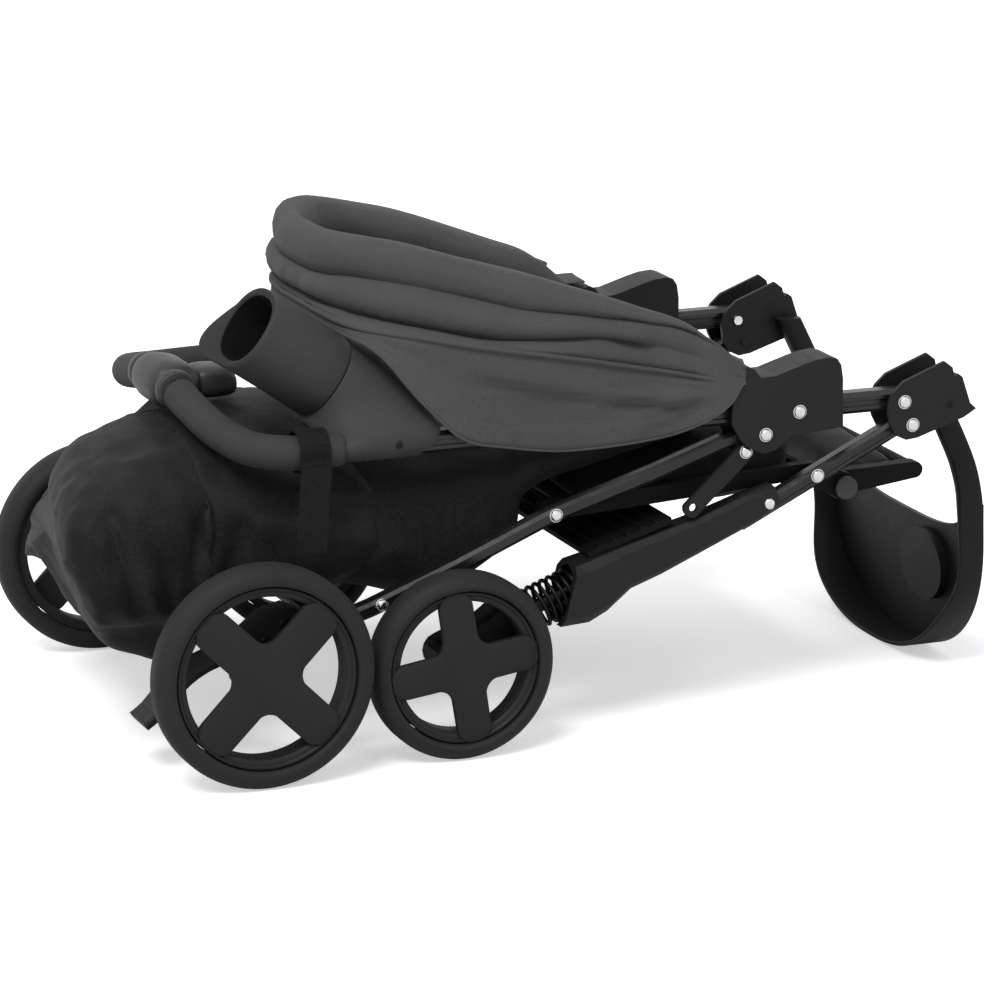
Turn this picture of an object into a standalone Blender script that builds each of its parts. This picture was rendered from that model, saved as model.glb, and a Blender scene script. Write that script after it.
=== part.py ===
"""Folding pushchair, lying folded on its wheels and its child tray.

Metres, +Z up. The child would face +X. The right side of the pushchair is at -Y.
Side views are drawn in the X-Z plane, measured from the rear axle's X and from the floor.
"""
import math

import bpy
import bmesh
from mathutils import Matrix, Vector

# Overall placing: the rear axle's X, which puts the origin under the middle of the box
REAR_AXLE_X = -0.2710

# Clearances
FIT = 0.0003
PIN_FIT = 0.00035
HUB_FACE_GAP = 0.0012

# Wheels
REAR_WHEEL_RADIUS = 0.0925
FRONT_WHEEL_RADIUS = 0.0785
TYRE_WIDTH = 0.034
REAR_TYRE_DEPTH = 0.0165
FRONT_TYRE_DEPTH = 0.0146
RIM_DEPTH = 0.0085
RIM_WIDTH = 0.024
SPOKE_HALF_WIDTH = 0.0145
SPOKE_FILLET = 0.0105
SPOKE_THICKNESS = 0.0055
REAR_WHEEL_SEGMENTS = 32
FRONT_WHEEL_SEGMENTS = 28
REAR_WHEEL_TURN = 45.0
FRONT_WHEEL_TURN = 8.0
AXLE_RADIUS = 0.005
WHEEL_HUB_RADIUS = 0.013

# Planes across the pushchair, as distances from its middle
AXLE_BRACKET_INNER = 0.1890
AXLE_BRACKET_OUTER = 0.2130
WHEEL_SIDE_GAP = 0.005
REAR_WHEEL_PLANE = AXLE_BRACKET_OUTER + WHEEL_SIDE_GAP + 0.5 * TYRE_WIDTH
AXLE_END = REAR_WHEEL_PLANE + 0.0072
FRONT_WHEEL_PLANE = 0.217
TUBE_PLANE = 0.182
REAR_LEG_PLANE = 0.180
STRUT_PLANE = 0.179
SHELL_INNER = 0.162
SHELL_OUTER = 0.202
SHELL_WALL = 0.004
RAIL_INNER = 0.158
RAIL_OUTER = 0.1695

# Pivots of the folding frame, from the rear axle's X and the floor
FOLD_PIVOT = (0.5784, 0.2575)
REAR_LEG_PIVOT = (0.4525, 0.2412)
SEAT_PIVOT = (0.5041, 0.1988)
SEAT_REAR_JOINT = (0.2710, 0.1874)
CALF_PIVOT = (0.5370, 0.1820)
RECLINE_PIVOT = (0.4370, 0.2270)
CANOPY_PIVOT = (0.4340, 0.2895)
FRONT_AXLE = (0.1746, FRONT_WHEEL_RADIUS)
REAR_AXLE = (0.0, REAR_WHEEL_RADIUS)

# Tubes
HANDLE_TUBE_HEIGHT = 0.018
HANDLE_TUBE_WIDTH = 0.022
HANDLE_TUBE_RISE = 0.3
HANDLE_TUBE_END = 0.0105
HANDLE_TUBE_LENGTH = 0.4760
HANDLE_END_X = FOLD_PIVOT[0] - HANDLE_TUBE_LENGTH * math.cos(math.radians(HANDLE_TUBE_RISE))
LEG_TUBE_HEIGHT = 0.015
LEG_TUBE_WIDTH = 0.016
LEG_TUBE_ANGLE = 205.8
LEG_TUBE_LENGTH = 0.178
LEG_RIVET = (0.5858, 0.2372)
REAR_LEG_HEIGHT = 0.0144
REAR_LEG_WIDTH = 0.017
PIN_RADIUS = 0.003
PIN_HEAD_RADIUS = 0.0048
PIN_HEAD_THICKNESS = 0.0024
BOW_RADIUS = 0.0095
GRIP_RADIUS = 0.0145
GRIP_TUBE_FIT = 0.0005
COLLAR_RADIUS = 0.0165
COLLAR_WIDTH = 0.012
COLLAR_PLANE = 0.038

# Front strut: suspension spring, stem and fork
STRUT_MOUTH = (0.2790, 0.1180)
STRUT_ANGLE = 200.7
SPRING_RADIUS = 0.0177
SPRING_WIRE = 0.0017
SPRING_TURNS = 7
SPRING_START = -0.0130
SPRING_END = 0.0320
STEM_RADIUS = 0.006
STRUT_SOCKET_RADIUS = 0.0208
STRUT_SOCKET_DEPTH = 0.0165
SPRING_SEAT_THICKNESS = 0.003
STRUT_TRAVEL = 0.008
FORK_INNER = 0.1650
FORK_OUTER = 0.1992

# Child tray
TRAY_HALF_WIDTH = 0.1600
TRAY_PLATE_X = 0.6680
TRAY_PLATE_THICKNESS = 0.004
TRAY_SKIRT_DEPTH = 0.036
TRAY_SKIRT_WALL = 0.004
TRAY_TOP = 0.2060
TRAY_BACK_EDGE = 0.1500
TRAY_ARM_WIDTH = 0.0190
TRAY_CUP = (-0.055, 0.078)
TRAY_CUP_SIZE = (0.034, 0.045)
TRAY_CUP_DEPTH = 0.012

# Parent's cup holder, on the right handle tube
CUP_PLANE = 0.118
CUP_HALF_WIDTH = 0.046
CUP_HALF_HEIGHT = 0.036
CUP_WALL = 0.003
CUP_MOUTH = (HANDLE_END_X - 0.0769, 0.3585)
CUP_AXIS = 144.5
CUP_DEPTH = 0.078
CUP_FLOOR = 0.004

# Soft goods
CANOPY_HALF_WIDTH = 0.1740
CANOPY_ROUNDNESS = 2.3
SKIRT_THICKNESS = 0.0032
SOFT_CLEARANCE = 0.003


def clear_scene():
    """Removes whatever objects the file holds."""
    for thing in list(bpy.data.objects):
        bpy.data.objects.remove(thing, do_unlink=True)


def make_material(name, colour, roughness, metallic=0.0):
    """A plain Principled material."""
    material = bpy.data.materials.new(name)
    material.use_nodes = True
    shader = material.node_tree.nodes["Principled BSDF"]
    shader.inputs["Base Color"].default_value = (*colour, 1.0)
    shader.inputs["Roughness"].default_value = roughness
    shader.inputs["Metallic"].default_value = metallic
    material.diffuse_color = (*colour, 1.0)
    return material


clear_scene()

PLASTIC = make_material("black_plastic", (0.022, 0.022, 0.024), 0.48)
TYRE = make_material("black_tyre", (0.020, 0.020, 0.021), 0.62)
RIM = make_material("wheel_plastic", (0.030, 0.030, 0.032), 0.40)
TUBE = make_material("black_tube", (0.018, 0.018, 0.020), 0.30, 0.6)
STEEL = make_material("bright_steel", (0.78, 0.78, 0.80), 0.20, 1.0)
SPRING = make_material("spring_steel", (0.16, 0.16, 0.17), 0.35, 1.0)
FOAM = make_material("grip_foam", (0.045, 0.045, 0.048), 0.85)
DARK_FABRIC = make_material("black_fabric", (0.020, 0.020, 0.022), 0.92)
GREY_FABRIC = make_material("grey_fabric", (0.115, 0.115, 0.120), 0.95)
GREY_PLASTIC = make_material("grey_plastic", (0.055, 0.055, 0.058), 0.55)

SIDES = (("right", -1.0), ("left", 1.0))

BODY_PIVOTS = {}
BODY_EMPTIES = {}


def add_body(name, pivot, parent=None):
    """An empty at a body's joint axis; pivot is (x, y, z) from the rear axle's X."""
    empty = bpy.data.objects.new("body_" + name, None)
    bpy.context.scene.collection.objects.link(empty)
    pivot = Vector(pivot)
    if parent is None:
        empty.location = pivot + Vector((REAR_AXLE_X, 0.0, 0.0))
    else:
        empty.parent = BODY_EMPTIES[parent]
        empty.location = pivot - BODY_PIVOTS[parent]
    BODY_PIVOTS[name] = pivot
    BODY_EMPTIES[name] = empty


def add_object(name, shape, body, material, smooth=40.0):
    """Turns a bmesh drawn from the rear axle's X into an object on its body's empty."""
    bmesh.ops.recalc_face_normals(shape, faces=shape.faces)
    bmesh.ops.translate(shape, verts=shape.verts, vec=-BODY_PIVOTS[body])
    mesh = bpy.data.meshes.new(name)
    shape.to_mesh(mesh)
    shape.free()
    mesh.materials.append(material)
    mesh.shade_smooth()
    mesh.set_sharp_from_angle(angle=math.radians(smooth))
    thing = bpy.data.objects.new(name, mesh)
    bpy.context.scene.collection.objects.link(thing)
    thing.parent = BODY_EMPTIES[body]
    return thing


def add_boolean(thing, shape, body, operation):
    """Joins or cuts an object with a hidden helper on the same body."""
    helper = add_object("helper_%s_%d" % (thing.name, len(thing.modifiers)), shape, body, PLASTIC)
    helper.hide_render = True
    helper.display_type = "WIRE"
    modifier = thing.modifiers.new(operation.lower(), "BOOLEAN")
    modifier.operation = operation
    modifier.solver = "EXACT"
    modifier.object = helper


def add_bevel(thing, width, segments=1, angle=38.0):
    """Rounds the sharp edges."""
    bevel = thing.modifiers.new("bevel", "BEVEL")
    bevel.width = width
    bevel.segments = segments
    bevel.limit_method = "ANGLE"
    bevel.angle_limit = math.radians(angle)
    bevel.use_clamp_overlap = True


def direction(angle):
    """The X-Z direction at an angle in degrees, counter-clockwise seen from -Y."""
    turn = math.radians(angle)
    return Vector((math.cos(turn), 0.0, math.sin(turn)))


def point(xz, y=0.0):
    """A side-view point moved out to a plane."""
    return Vector((xz[0], y, xz[1]))


def add_prism(shape, outline, y_start, y_end):
    """A side-view outline extruded across the pushchair."""
    low = [shape.verts.new((x, y_start, z)) for x, z in outline]
    high = [shape.verts.new((x, y_end, z)) for x, z in outline]
    shape.faces.new(low)
    shape.faces.new(list(reversed(high)))
    count = len(outline)
    for i in range(count):
        j = (i + 1) % count
        shape.faces.new((low[j], low[i], high[i], high[j]))


def prism(outline, y_start, y_end):
    """A new shape that is one extruded outline."""
    shape = bmesh.new()
    add_prism(shape, outline, y_start, y_end)
    return shape


def add_rings(shape, rings, closed=False):
    """Skins a list of point rings, with flat ends unless it closes on itself."""
    loops = [[shape.verts.new(p) for p in ring] for ring in rings]
    size = len(loops[0])
    pairs = list(zip(loops, loops[1:]))
    if closed:
        pairs.append((loops[-1], loops[0]))
    for first, second in pairs:
        for i in range(size):
            j = (i + 1) % size
            shape.faces.new((first[i], first[j], second[j], second[i]))
    if not closed:
        shape.faces.new(list(reversed(loops[0])))
        shape.faces.new(loops[-1])


def ring_shape(rings, closed=False):
    """A new shape skinned over rings."""
    shape = bmesh.new()
    add_rings(shape, rings, closed)
    return shape


def circle_points(centre, radius, axis, sides, start=0.0):
    """Points round a circle about an axis through its centre."""
    axis = axis.normalized()
    across = axis.orthogonal().normalized()
    other = axis.cross(across)
    points = []
    for i in range(sides):
        turn = 2.0 * math.pi * i / sides + start
        points.append(centre + radius * (math.cos(turn) * across + math.sin(turn) * other))
    return points


def rod(start, end, radius, sides=14):
    """A plain round bar."""
    axis = end - start
    return ring_shape([circle_points(start, radius, axis, sides), circle_points(end, radius, axis, sides)])


def turned(centre, profile, segments, start=0.0, closed=True):
    """A profile of (y, radius) points turned about the Y axis through a side-view point."""
    rings = []
    for i in range(segments):
        turn = 2.0 * math.pi * i / segments + start
        spoke = Vector((math.cos(turn), 0.0, math.sin(turn)))
        rings.append([point(centre, y) + radius * spoke for y, radius in profile])
    shape = bmesh.new()
    loops = [[shape.verts.new(p) for p in ring] for ring in rings]
    size = len(profile)
    for i in range(segments):
        first = loops[i]
        second = loops[(i + 1) % segments]
        for j in range(size if closed else size - 1):
            k = (j + 1) % size
            shape.faces.new((first[j], first[k], second[k], second[j]))
    if not closed:
        shape.faces.new([loop[0] for loop in loops])
        shape.faces.new(list(reversed([loop[-1] for loop in loops])))
    return shape


def disc(centre, y_start, y_end, radius, sides=20):
    """A round plate across the pushchair."""
    return turned(centre, [(y_start, radius), (y_end, radius)], sides, closed=False)


def smooth_path(points, steps):
    """Catmull-Rom points through a route."""
    route = [Vector(p) for p in points]
    result = []
    last = len(route) - 1
    for i in range(last):
        before = route[max(i - 1, 0)]
        here = route[i]
        there = route[i + 1]
        after = route[min(i + 2, last)]
        for j in range(steps):
            t = j / steps
            result.append(0.5 * (2.0 * here + (there - before) * t
                                 + (2.0 * before - 5.0 * here + 4.0 * there - after) * t * t
                                 + (3.0 * here - before - 3.0 * there + after) * t * t * t))
    result.append(route[last])
    return result


def sweep_rings(path, section_at, side=None):
    """Rings of a section, given as (side, normal) offsets at each path point."""
    rings = []
    last = len(path) - 1
    for i, here in enumerate(path):
        tangent = (path[min(i + 1, last)] - path[max(i - 1, 0)]).normalized()
        reference = side if side is not None else Vector((0.0, 1.0, 0.0))
        across = (reference - tangent * reference.dot(tangent)).normalized()
        normal = tangent.cross(across)
        rings.append([here + a * across + b * normal for a, b in section_at(i / last)])
    return rings


def oval_section(width, height, sides=12, squareness=2.6):
    """A rounded section, as (side, normal) offsets."""
    points = []
    for i in range(sides):
        turn = 2.0 * math.pi * (i + 0.5) / sides
        c = math.cos(turn)
        s = math.sin(turn)
        power = 2.0 / squareness
        points.append((0.5 * width * math.copysign(abs(c) ** power, c),
                       0.5 * height * math.copysign(abs(s) ** power, s)))
    return points


def ribbed_section(width, height, rib=0.0009):
    """The drawn aluminium tube's section: rounded, with two grooves along each side face."""
    half_w = 0.5 * width
    half_h = 0.5 * height
    face = [(0.62, 0.30), (0.36, 0.0), (0.27, 0.0), (0.20, 1.0), (0.10, 1.0)]
    side = []
    for level, groove in face:
        side.append((half_w - rib * groove, half_h * level))
    for level, groove in reversed(face):
        side.append((half_w - rib * groove, -half_h * level))
    top = [(-0.55 * half_w, half_h), (0.55 * half_w, half_h)]
    right = [(x, z) for x, z in side]
    bottom = [(0.55 * half_w, -half_h), (-0.55 * half_w, -half_h)]
    left = [(-x, z) for x, z in reversed(side)]
    return top + right + bottom + left


def arc(centre, radius, start, end, steps):
    """Side-view arc points, degrees counter-clockwise."""
    points = []
    for i in range(steps + 1):
        turn = math.radians(start + (end - start) * i / steps)
        points.append((centre[0] + radius * math.cos(turn), centre[1] + radius * math.sin(turn)))
    return points


def span(side, inner, outer):
    """The Y range between two distances from the middle, on one side."""
    return (side * inner, side * outer) if side > 0 else (side * outer, side * inner)


def pin_shape(xz, inner, outer, side, shank=PIN_RADIUS, head=PIN_HEAD_RADIUS):
    """A rivet: a shank between two low domed heads, inner and outer as distances from the middle."""
    flat = 0.62 * head
    rise = 0.6 * PIN_HEAD_THICKNESS
    profile = [(inner - PIN_HEAD_THICKNESS, 0.85 * head), (inner, head),
               (inner, shank), (outer, shank), (outer, head), (outer + rise * 0.4, head),
               (outer + PIN_HEAD_THICKNESS, flat)]
    profile = [(side * y, radius) for y, radius in profile]
    return turned(xz, profile, 10, closed=False)


def add_rivet(thing, xz, inner, outer, side, body, head=PIN_HEAD_RADIUS):
    """A rivet set in a piece: its heads stand on faces at two distances from the middle."""
    sunk = 0.0004
    add_boolean(thing, pin_shape(xz, inner + sunk, outer - sunk, side, PIN_RADIUS, head), body, "UNION")


def add_pin(name, xz, inner, outer, side, body):
    """A separate pivot pin whose heads stand just off two faces."""
    add_object(name, pin_shape(xz, inner - FIT, outer + FIT, side), body, STEEL)


def pin_hole(thing, xz, inner, outer, side, body, radius=PIN_RADIUS + PIN_FIT):
    """Cuts a round hole across the pushchair."""
    margin = 0.002
    low, high = span(side, inner - margin, outer + margin)
    add_boolean(thing, disc(xz, low, high, radius, 12), body, "DIFFERENCE")


# Bodies, each at its joint axis
STRUT_AXIS = direction(STRUT_ANGLE)
HANDLE_AXIS = direction(180.0 - HANDLE_TUBE_RISE)
LEG_AXIS = direction(LEG_TUBE_ANGLE)

add_body("front_frame", point(FOLD_PIVOT))
add_body("handle_frame", point(FOLD_PIVOT), "front_frame")
add_body("seat_frame", point(SEAT_PIVOT), "front_frame")
add_body("rear_frame", point(REAR_LEG_PIVOT), "handle_frame")
add_body("canopy_front", point(CANOPY_PIVOT), "handle_frame")
add_body("canopy_middle", point(CANOPY_PIVOT), "handle_frame")
add_body("calf_rest", point(CALF_PIVOT), "seat_frame")
add_body("recline_arms", point(RECLINE_PIVOT), "rear_frame")
add_body("brake", point(REAR_AXLE), "rear_frame")
add_body("fold_release", (HANDLE_END_X - 0.0724, 0.0, 0.284), "handle_frame")
for side_name, side in SIDES:
    add_body("rear_wheel_" + side_name, point(REAR_AXLE, side * REAR_WHEEL_PLANE), "rear_frame")
    add_body("front_strut_" + side_name, point(STRUT_MOUTH, side * STRUT_PLANE), "front_frame")
    add_body("front_wheel_" + side_name, point(FRONT_AXLE, side * FRONT_WHEEL_PLANE),
             "front_strut_" + side_name)
    add_body("calf_button_" + side_name, point(CALF_PIVOT, side * RAIL_OUTER), "seat_frame")


def spoke_outline(centre, reach, half_width, fillet, turn):
    """Four wide arms that meet in round corners."""
    outline = []
    for quarter in range(4):
        base = turn + 90.0 * quarter
        local = [(reach, -half_width), (reach, half_width)]
        corner = (half_width + fillet, half_width + fillet)
        local += arc(corner, fillet, -90.0, -180.0, 3)
        c = math.cos(math.radians(base))
        s = math.sin(math.radians(base))
        outline += [(centre[0] + x * c - z * s, centre[1] + x * s + z * c) for x, z in local]
    return outline


def build_wheel(kind, side_name, side, centre, plane, radius, tyre_depth, turn, segments):
    """A foam tyre on a moulded rim with four wide arms."""
    body = "%s_wheel_%s" % (kind, side_name)
    half = 0.5 * TYRE_WIDTH
    bead = radius - tyre_depth
    corner = radius / math.cos(math.pi / segments) + 0.0010
    y_mid = side * plane
    start = math.pi / segments
    tyre = [(-half, bead), (-half, corner - 0.0075),
            (-half + 0.0070, corner - 0.0010), (half - 0.0070, corner - 0.0010), (half, corner - 0.0075),
            (half, bead + 0.004), (half - 0.003, bead)]
    tyre = [(y_mid + side * y, r) for y, r in tyre]
    add_object("%s_tyre_%s" % (kind, side_name), turned(centre, tyre, segments, start), body, TYRE)

    rim_outer = bead - FIT
    rim_inner = rim_outer - RIM_DEPTH
    half_rim = 0.5 * RIM_WIDTH
    ring = [(-half_rim, rim_inner), (-half_rim, rim_outer),
            (half_rim - 0.001, rim_outer), (half_rim, rim_outer - 0.001), (half_rim, rim_inner)]
    ring = [(y_mid + side * y, r) for y, r in ring]
    rim = add_object("%s_rim_%s" % (kind, side_name), turned(centre, ring, segments, start), body, RIM)
    face = plane + half_rim - 0.0010
    low, high = span(side, face - SPOKE_THICKNESS, face)
    reach = rim_inner + 0.5 * RIM_DEPTH
    arms = prism(spoke_outline(centre, reach, SPOKE_HALF_WIDTH, SPOKE_FILLET, turn), low, high)
    add_boolean(rim, arms, body, "UNION")
    low, high = span(side, plane - half + 0.002, face - 0.5 * SPOKE_THICKNESS)
    add_boolean(rim, disc(centre, low, high, WHEEL_HUB_RADIUS, 16), body, "UNION")
    low, high = span(side, plane - half - 0.004, face - 0.6 * SPOKE_THICKNESS)
    add_boolean(rim, disc(centre, low, high, AXLE_RADIUS + PIN_FIT, 12), body, "DIFFERENCE")


for side_name, side in SIDES:
    build_wheel("rear", side_name, side, REAR_AXLE, REAR_WHEEL_PLANE, REAR_WHEEL_RADIUS,
                REAR_TYRE_DEPTH, REAR_WHEEL_TURN, REAR_WHEEL_SEGMENTS)
    build_wheel("front", side_name, side, FRONT_AXLE, FRONT_WHEEL_PLANE, FRONT_WHEEL_RADIUS,
                FRONT_TYRE_DEPTH, FRONT_WHEEL_TURN, FRONT_WHEEL_SEGMENTS)


# Front frame: hinge hubs, leg tubes, leg housings, footrest and child tray
HUB_OUTLINE = [(0.5629, 0.2560), (0.5648, 0.2400), (0.5700, 0.2295), (0.5794, 0.2249), (0.5900, 0.2260),
               (0.6327, 0.2397), (0.6440, 0.2462), (0.6385, 0.2512), (0.6312, 0.2745), (0.6276, 0.2772),
               (0.6238, 0.2752), (0.6222, 0.2832), (0.6150, 0.2890), (0.5775, 0.2748), (0.5679, 0.2663)]
HUB_WEB_X = 0.6070


def build_hub(side_name, side):
    """The front hinge block: two cheeks joined by a web under the opened handle tube."""
    low, high = span(side, SHELL_INNER, SHELL_OUTER)
    hub = add_object("hub_" + side_name, prism(HUB_OUTLINE, low, high), "front_frame", PLASTIC)
    low, high = span(side, SHELL_INNER + SHELL_WALL, SHELL_OUTER - SHELL_WALL)
    seat_line = point(FOLD_PIVOT) - direction(121.0) * (0.5 * HANDLE_TUBE_HEIGHT + 0.0012)
    along = direction(31.0)
    first = seat_line + along * ((HUB_WEB_X - seat_line.x) / along.x)
    second = seat_line + along * 0.09
    cavity = [(0.550, 0.210), (HUB_WEB_X, 0.210), (first.x, first.z), (second.x, second.z),
              (0.650, 0.330), (0.550, 0.330)]
    add_boolean(hub, prism(cavity, low, high), "front_frame", "DIFFERENCE")
    pin_hole(hub, FOLD_PIVOT, SHELL_INNER, SHELL_OUTER, side, "front_frame")
    add_rivet(hub, LEG_RIVET, SHELL_INNER, SHELL_OUTER, side, "front_frame")
    add_pin("fold_pin_" + side_name, FOLD_PIVOT, SHELL_INNER, SHELL_OUTER, side, "front_frame")


def build_leg_tube(side_name, side):
    """The ribbed front leg tube, riveted in the hub and pushed into its housing."""
    start = point(LEG_RIVET, side * TUBE_PLANE) - LEG_AXIS * 0.011
    end = start + LEG_AXIS * LEG_TUBE_LENGTH
    section = ribbed_section(LEG_TUBE_WIDTH, LEG_TUBE_HEIGHT)
    tube = add_object("front_leg_" + side_name, ring_shape(sweep_rings([start, end], lambda t: section)),
                      "front_frame", TUBE)
    inner = TUBE_PLANE - 0.5 * LEG_TUBE_WIDTH
    outer = TUBE_PLANE + 0.5 * LEG_TUBE_WIDTH
    pin_hole(tube, LEG_RIVET, inner, outer, side, "front_frame")
    pin_hole(tube, SEAT_PIVOT, inner, outer, side, "front_frame")


# Housing sections from the tube's end down to the strut's mouth: bottom point, top point, inner, outer
HOUSING_SECTIONS = [
    ((0.4700, 0.1775), (0.4640, 0.1945), 0.1722, 0.1935),
    ((0.4455, 0.1640), (0.4380, 0.1880), 0.1718, 0.1950),
    ((0.4086, 0.1489), (0.4000, 0.1755), 0.1705, 0.1965),
    ((0.3620, 0.1297), (0.3530, 0.1625), 0.1670, 0.1980),
    ((0.3343, 0.1202), (0.3230, 0.1545), 0.1640, 0.1990),
    ((0.3126, 0.1035), (0.3080, 0.1505), 0.1600, 0.2010),
    ((0.2963, 0.0956), (0.2960, 0.1470), 0.1575, 0.2020),
    ((0.2710, 0.0940), (0.2850, 0.1440), 0.1560, 0.2025),
]


def build_housing(side_name, side):
    """The moulded lower front leg, which holds the tube above and the spring below."""
    rings = []
    for bottom, top, inner, outer in HOUSING_SECTIONS:
        base = point(bottom)
        rise = point(top) - base
        width = outer - inner
        corner_y = 0.16 * width
        corner_h = 0.14
        ring = []
        for y, h in ((inner + corner_y, 0.0), (outer - corner_y, 0.0), (outer, corner_h),
                     (outer, 1.0 - corner_h), (outer - corner_y, 1.0), (inner + corner_y, 1.0),
                     (inner, 1.0 - corner_h), (inner, corner_h)):
            ring.append(base + rise * h + Vector((0.0, side * y, 0.0)))
        rings.append(ring)
    housing = add_object("front_leg_housing_" + side_name, ring_shape(rings), "front_frame", PLASTIC)
    tube_start = point(LEG_RIVET, side * TUBE_PLANE)
    socket = oval_section(LEG_TUBE_WIDTH + 2.0 * FIT + 0.0008, LEG_TUBE_HEIGHT + 2.0 * FIT + 0.0008, 12, 8.0)
    path = [tube_start + LEG_AXIS * 0.100, tube_start + LEG_AXIS * (LEG_TUBE_LENGTH - 0.011 + FIT)]
    add_boolean(housing, ring_shape(sweep_rings(path, lambda t: socket)), "front_frame", "DIFFERENCE")
    mouth = point(STRUT_MOUTH, side * STRUT_PLANE)
    bore = rod(mouth + STRUT_AXIS * 0.020, mouth - STRUT_AXIS * STRUT_SOCKET_DEPTH, STRUT_SOCKET_RADIUS, 20)
    add_boolean(housing, bore, "front_frame", "DIFFERENCE")
    stem_bore = rod(mouth, mouth - STRUT_AXIS * (STRUT_SOCKET_DEPTH + 0.012 + STRUT_TRAVEL), STEM_RADIUS + FIT, 14)
    add_boolean(housing, stem_bore, "front_frame", "DIFFERENCE")


def build_strut(side_name, side):
    """Stem with its spring seat, coil spring, and the arm that carries the wheel on a stub axle."""
    mouth = point(STRUT_MOUTH, side * STRUT_PLANE)
    body = "front_strut_" + side_name
    seat_start = SPRING_END + SPRING_WIRE + FIT
    seat_end = seat_start + SPRING_SEAT_THICKNESS
    inner_end = mouth - STRUT_AXIS * (STRUT_SOCKET_DEPTH + 0.010)
    stem = add_object("front_stem_" + side_name,
                      rod(inner_end, mouth + STRUT_AXIS * (seat_end + 0.020), STEM_RADIUS, 14), body, STEEL)
    seat = rod(mouth + STRUT_AXIS * seat_start, mouth + STRUT_AXIS * seat_end,
               SPRING_RADIUS + SPRING_WIRE, 18)
    add_boolean(stem, seat, body, "UNION")

    coil = []
    points_per_turn = 8
    total = SPRING_TURNS * points_per_turn
    across = Vector((0.0, 1.0, 0.0))
    other = STRUT_AXIS.cross(across)
    for i in range(total + 1):
        turn = 2.0 * math.pi * i / points_per_turn
        along = SPRING_START + (SPRING_END - SPRING_START) * i / total
        coil.append(mouth + STRUT_AXIS * along
                    + SPRING_RADIUS * (math.cos(turn) * across + math.sin(turn) * other))
    pitch = (SPRING_END - SPRING_START) / SPRING_TURNS
    least_gap = min((coil[i] - coil[j]).length for i in range(total + 1)
                    for j in range(i + points_per_turn - 2, total + 1)) - 2.0 * SPRING_WIRE
    print("spring %s: pitch %.2f mm, least gap %.2f mm" % (side_name, pitch * 1000.0, least_gap * 1000.0))
    wire = oval_section(2.0 * SPRING_WIRE, 2.0 * SPRING_WIRE, 5, 2.0)
    rings = sweep_rings(coil, lambda t: wire, STRUT_AXIS)
    add_object("front_spring_" + side_name, ring_shape(rings), body, SPRING)

    crown = point(STRUT_MOUTH) + STRUT_AXIS * (seat_end + FIT)
    normal = direction(STRUT_ANGLE - 90.0)
    reach = SPRING_RADIUS
    edge = [crown - normal * reach, crown + normal * reach, crown + STRUT_AXIS * 0.012 + normal * (reach + 0.004),
            crown + STRUT_AXIS * 0.036 + normal * 0.0150]
    outline = [(p.x, p.z) for p in edge]
    outline += arc(FRONT_AXLE, 0.0145, STRUT_ANGLE - 95.0, STRUT_ANGLE + 100.0, 8)
    low_edge = crown + STRUT_AXIS * 0.024 - normal * 0.0120
    outline.append((low_edge.x, low_edge.z))
    low, high = span(side, FORK_INNER, FORK_OUTER)
    arm = add_object("front_wheel_arm_" + side_name, prism(list(reversed(outline)), low, high), body, PLASTIC)
    start = mouth + STRUT_AXIS * (seat_end - 0.004)
    hole = rod(start, mouth + STRUT_AXIS * (seat_end + 0.020 + FIT), STEM_RADIUS + PIN_FIT, 14)
    add_boolean(arm, hole, body, "DIFFERENCE")
    low, high = span(side, FORK_OUTER - 0.004, FRONT_WHEEL_PLANE - 0.5 * TYRE_WIDTH + 0.0015)
    add_boolean(arm, disc(FRONT_AXLE, low, high, 0.0095, 14), body, "UNION")
    hub_face = FRONT_WHEEL_PLANE + 0.5 * RIM_WIDTH - 0.0010 - 0.6 * SPOKE_THICKNESS - 0.0012
    low, high = span(side, FORK_INNER - 0.0010, hub_face)
    add_boolean(arm, disc(FRONT_AXLE, low, high, AXLE_RADIUS, 12), body, "UNION")
    for xz in ARM_SCREWS:
        low, high = span(side, FORK_OUTER - 0.002, FORK_OUTER + 0.0006)
        add_boolean(arm, disc(xz, low, high, 0.0036, 8), body, "UNION")


ARM_SCREWS = [(0.2190, 0.1140), (0.2110, 0.0960)]
FOOTREST_START = (0.2975, 0.1535)
FOOTREST_LENGTH = 0.0780
FOOTREST_ANGLE = 17.0
FOOTREST_THICKNESS = 0.0055
FOOTREST_HALF_WIDTH = 0.1900


def build_footrest():
    """A ribbed step between the lower front legs."""
    along = direction(FOOTREST_ANGLE)
    up = direction(FOOTREST_ANGLE + 90.0)
    start = point(FOOTREST_START)

    def place(s, h):
        spot = start + along * s + up * h
        return (spot.x, spot.z)

    ribs = 5
    outline = [place(0.0, -FOOTREST_THICKNESS), place(FOOTREST_LENGTH, -FOOTREST_THICKNESS)]
    outline.append(place(FOOTREST_LENGTH, 0.0))
    pitch = FOOTREST_LENGTH / (ribs + 1)
    for i in range(ribs, 0, -1):
        outline.append(place(pitch * i + 0.0025, 0.0))
        outline.append(place(pitch * i + 0.0015, 0.0018))
        outline.append(place(pitch * i - 0.0015, 0.0018))
        outline.append(place(pitch * i - 0.0025, 0.0))
    outline.append(place(0.0, 0.0))
    step = prism(outline, -FOOTREST_HALF_WIDTH, FOOTREST_HALF_WIDTH)
    add_object("front_footrest", step, "front_frame", PLASTIC)


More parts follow.
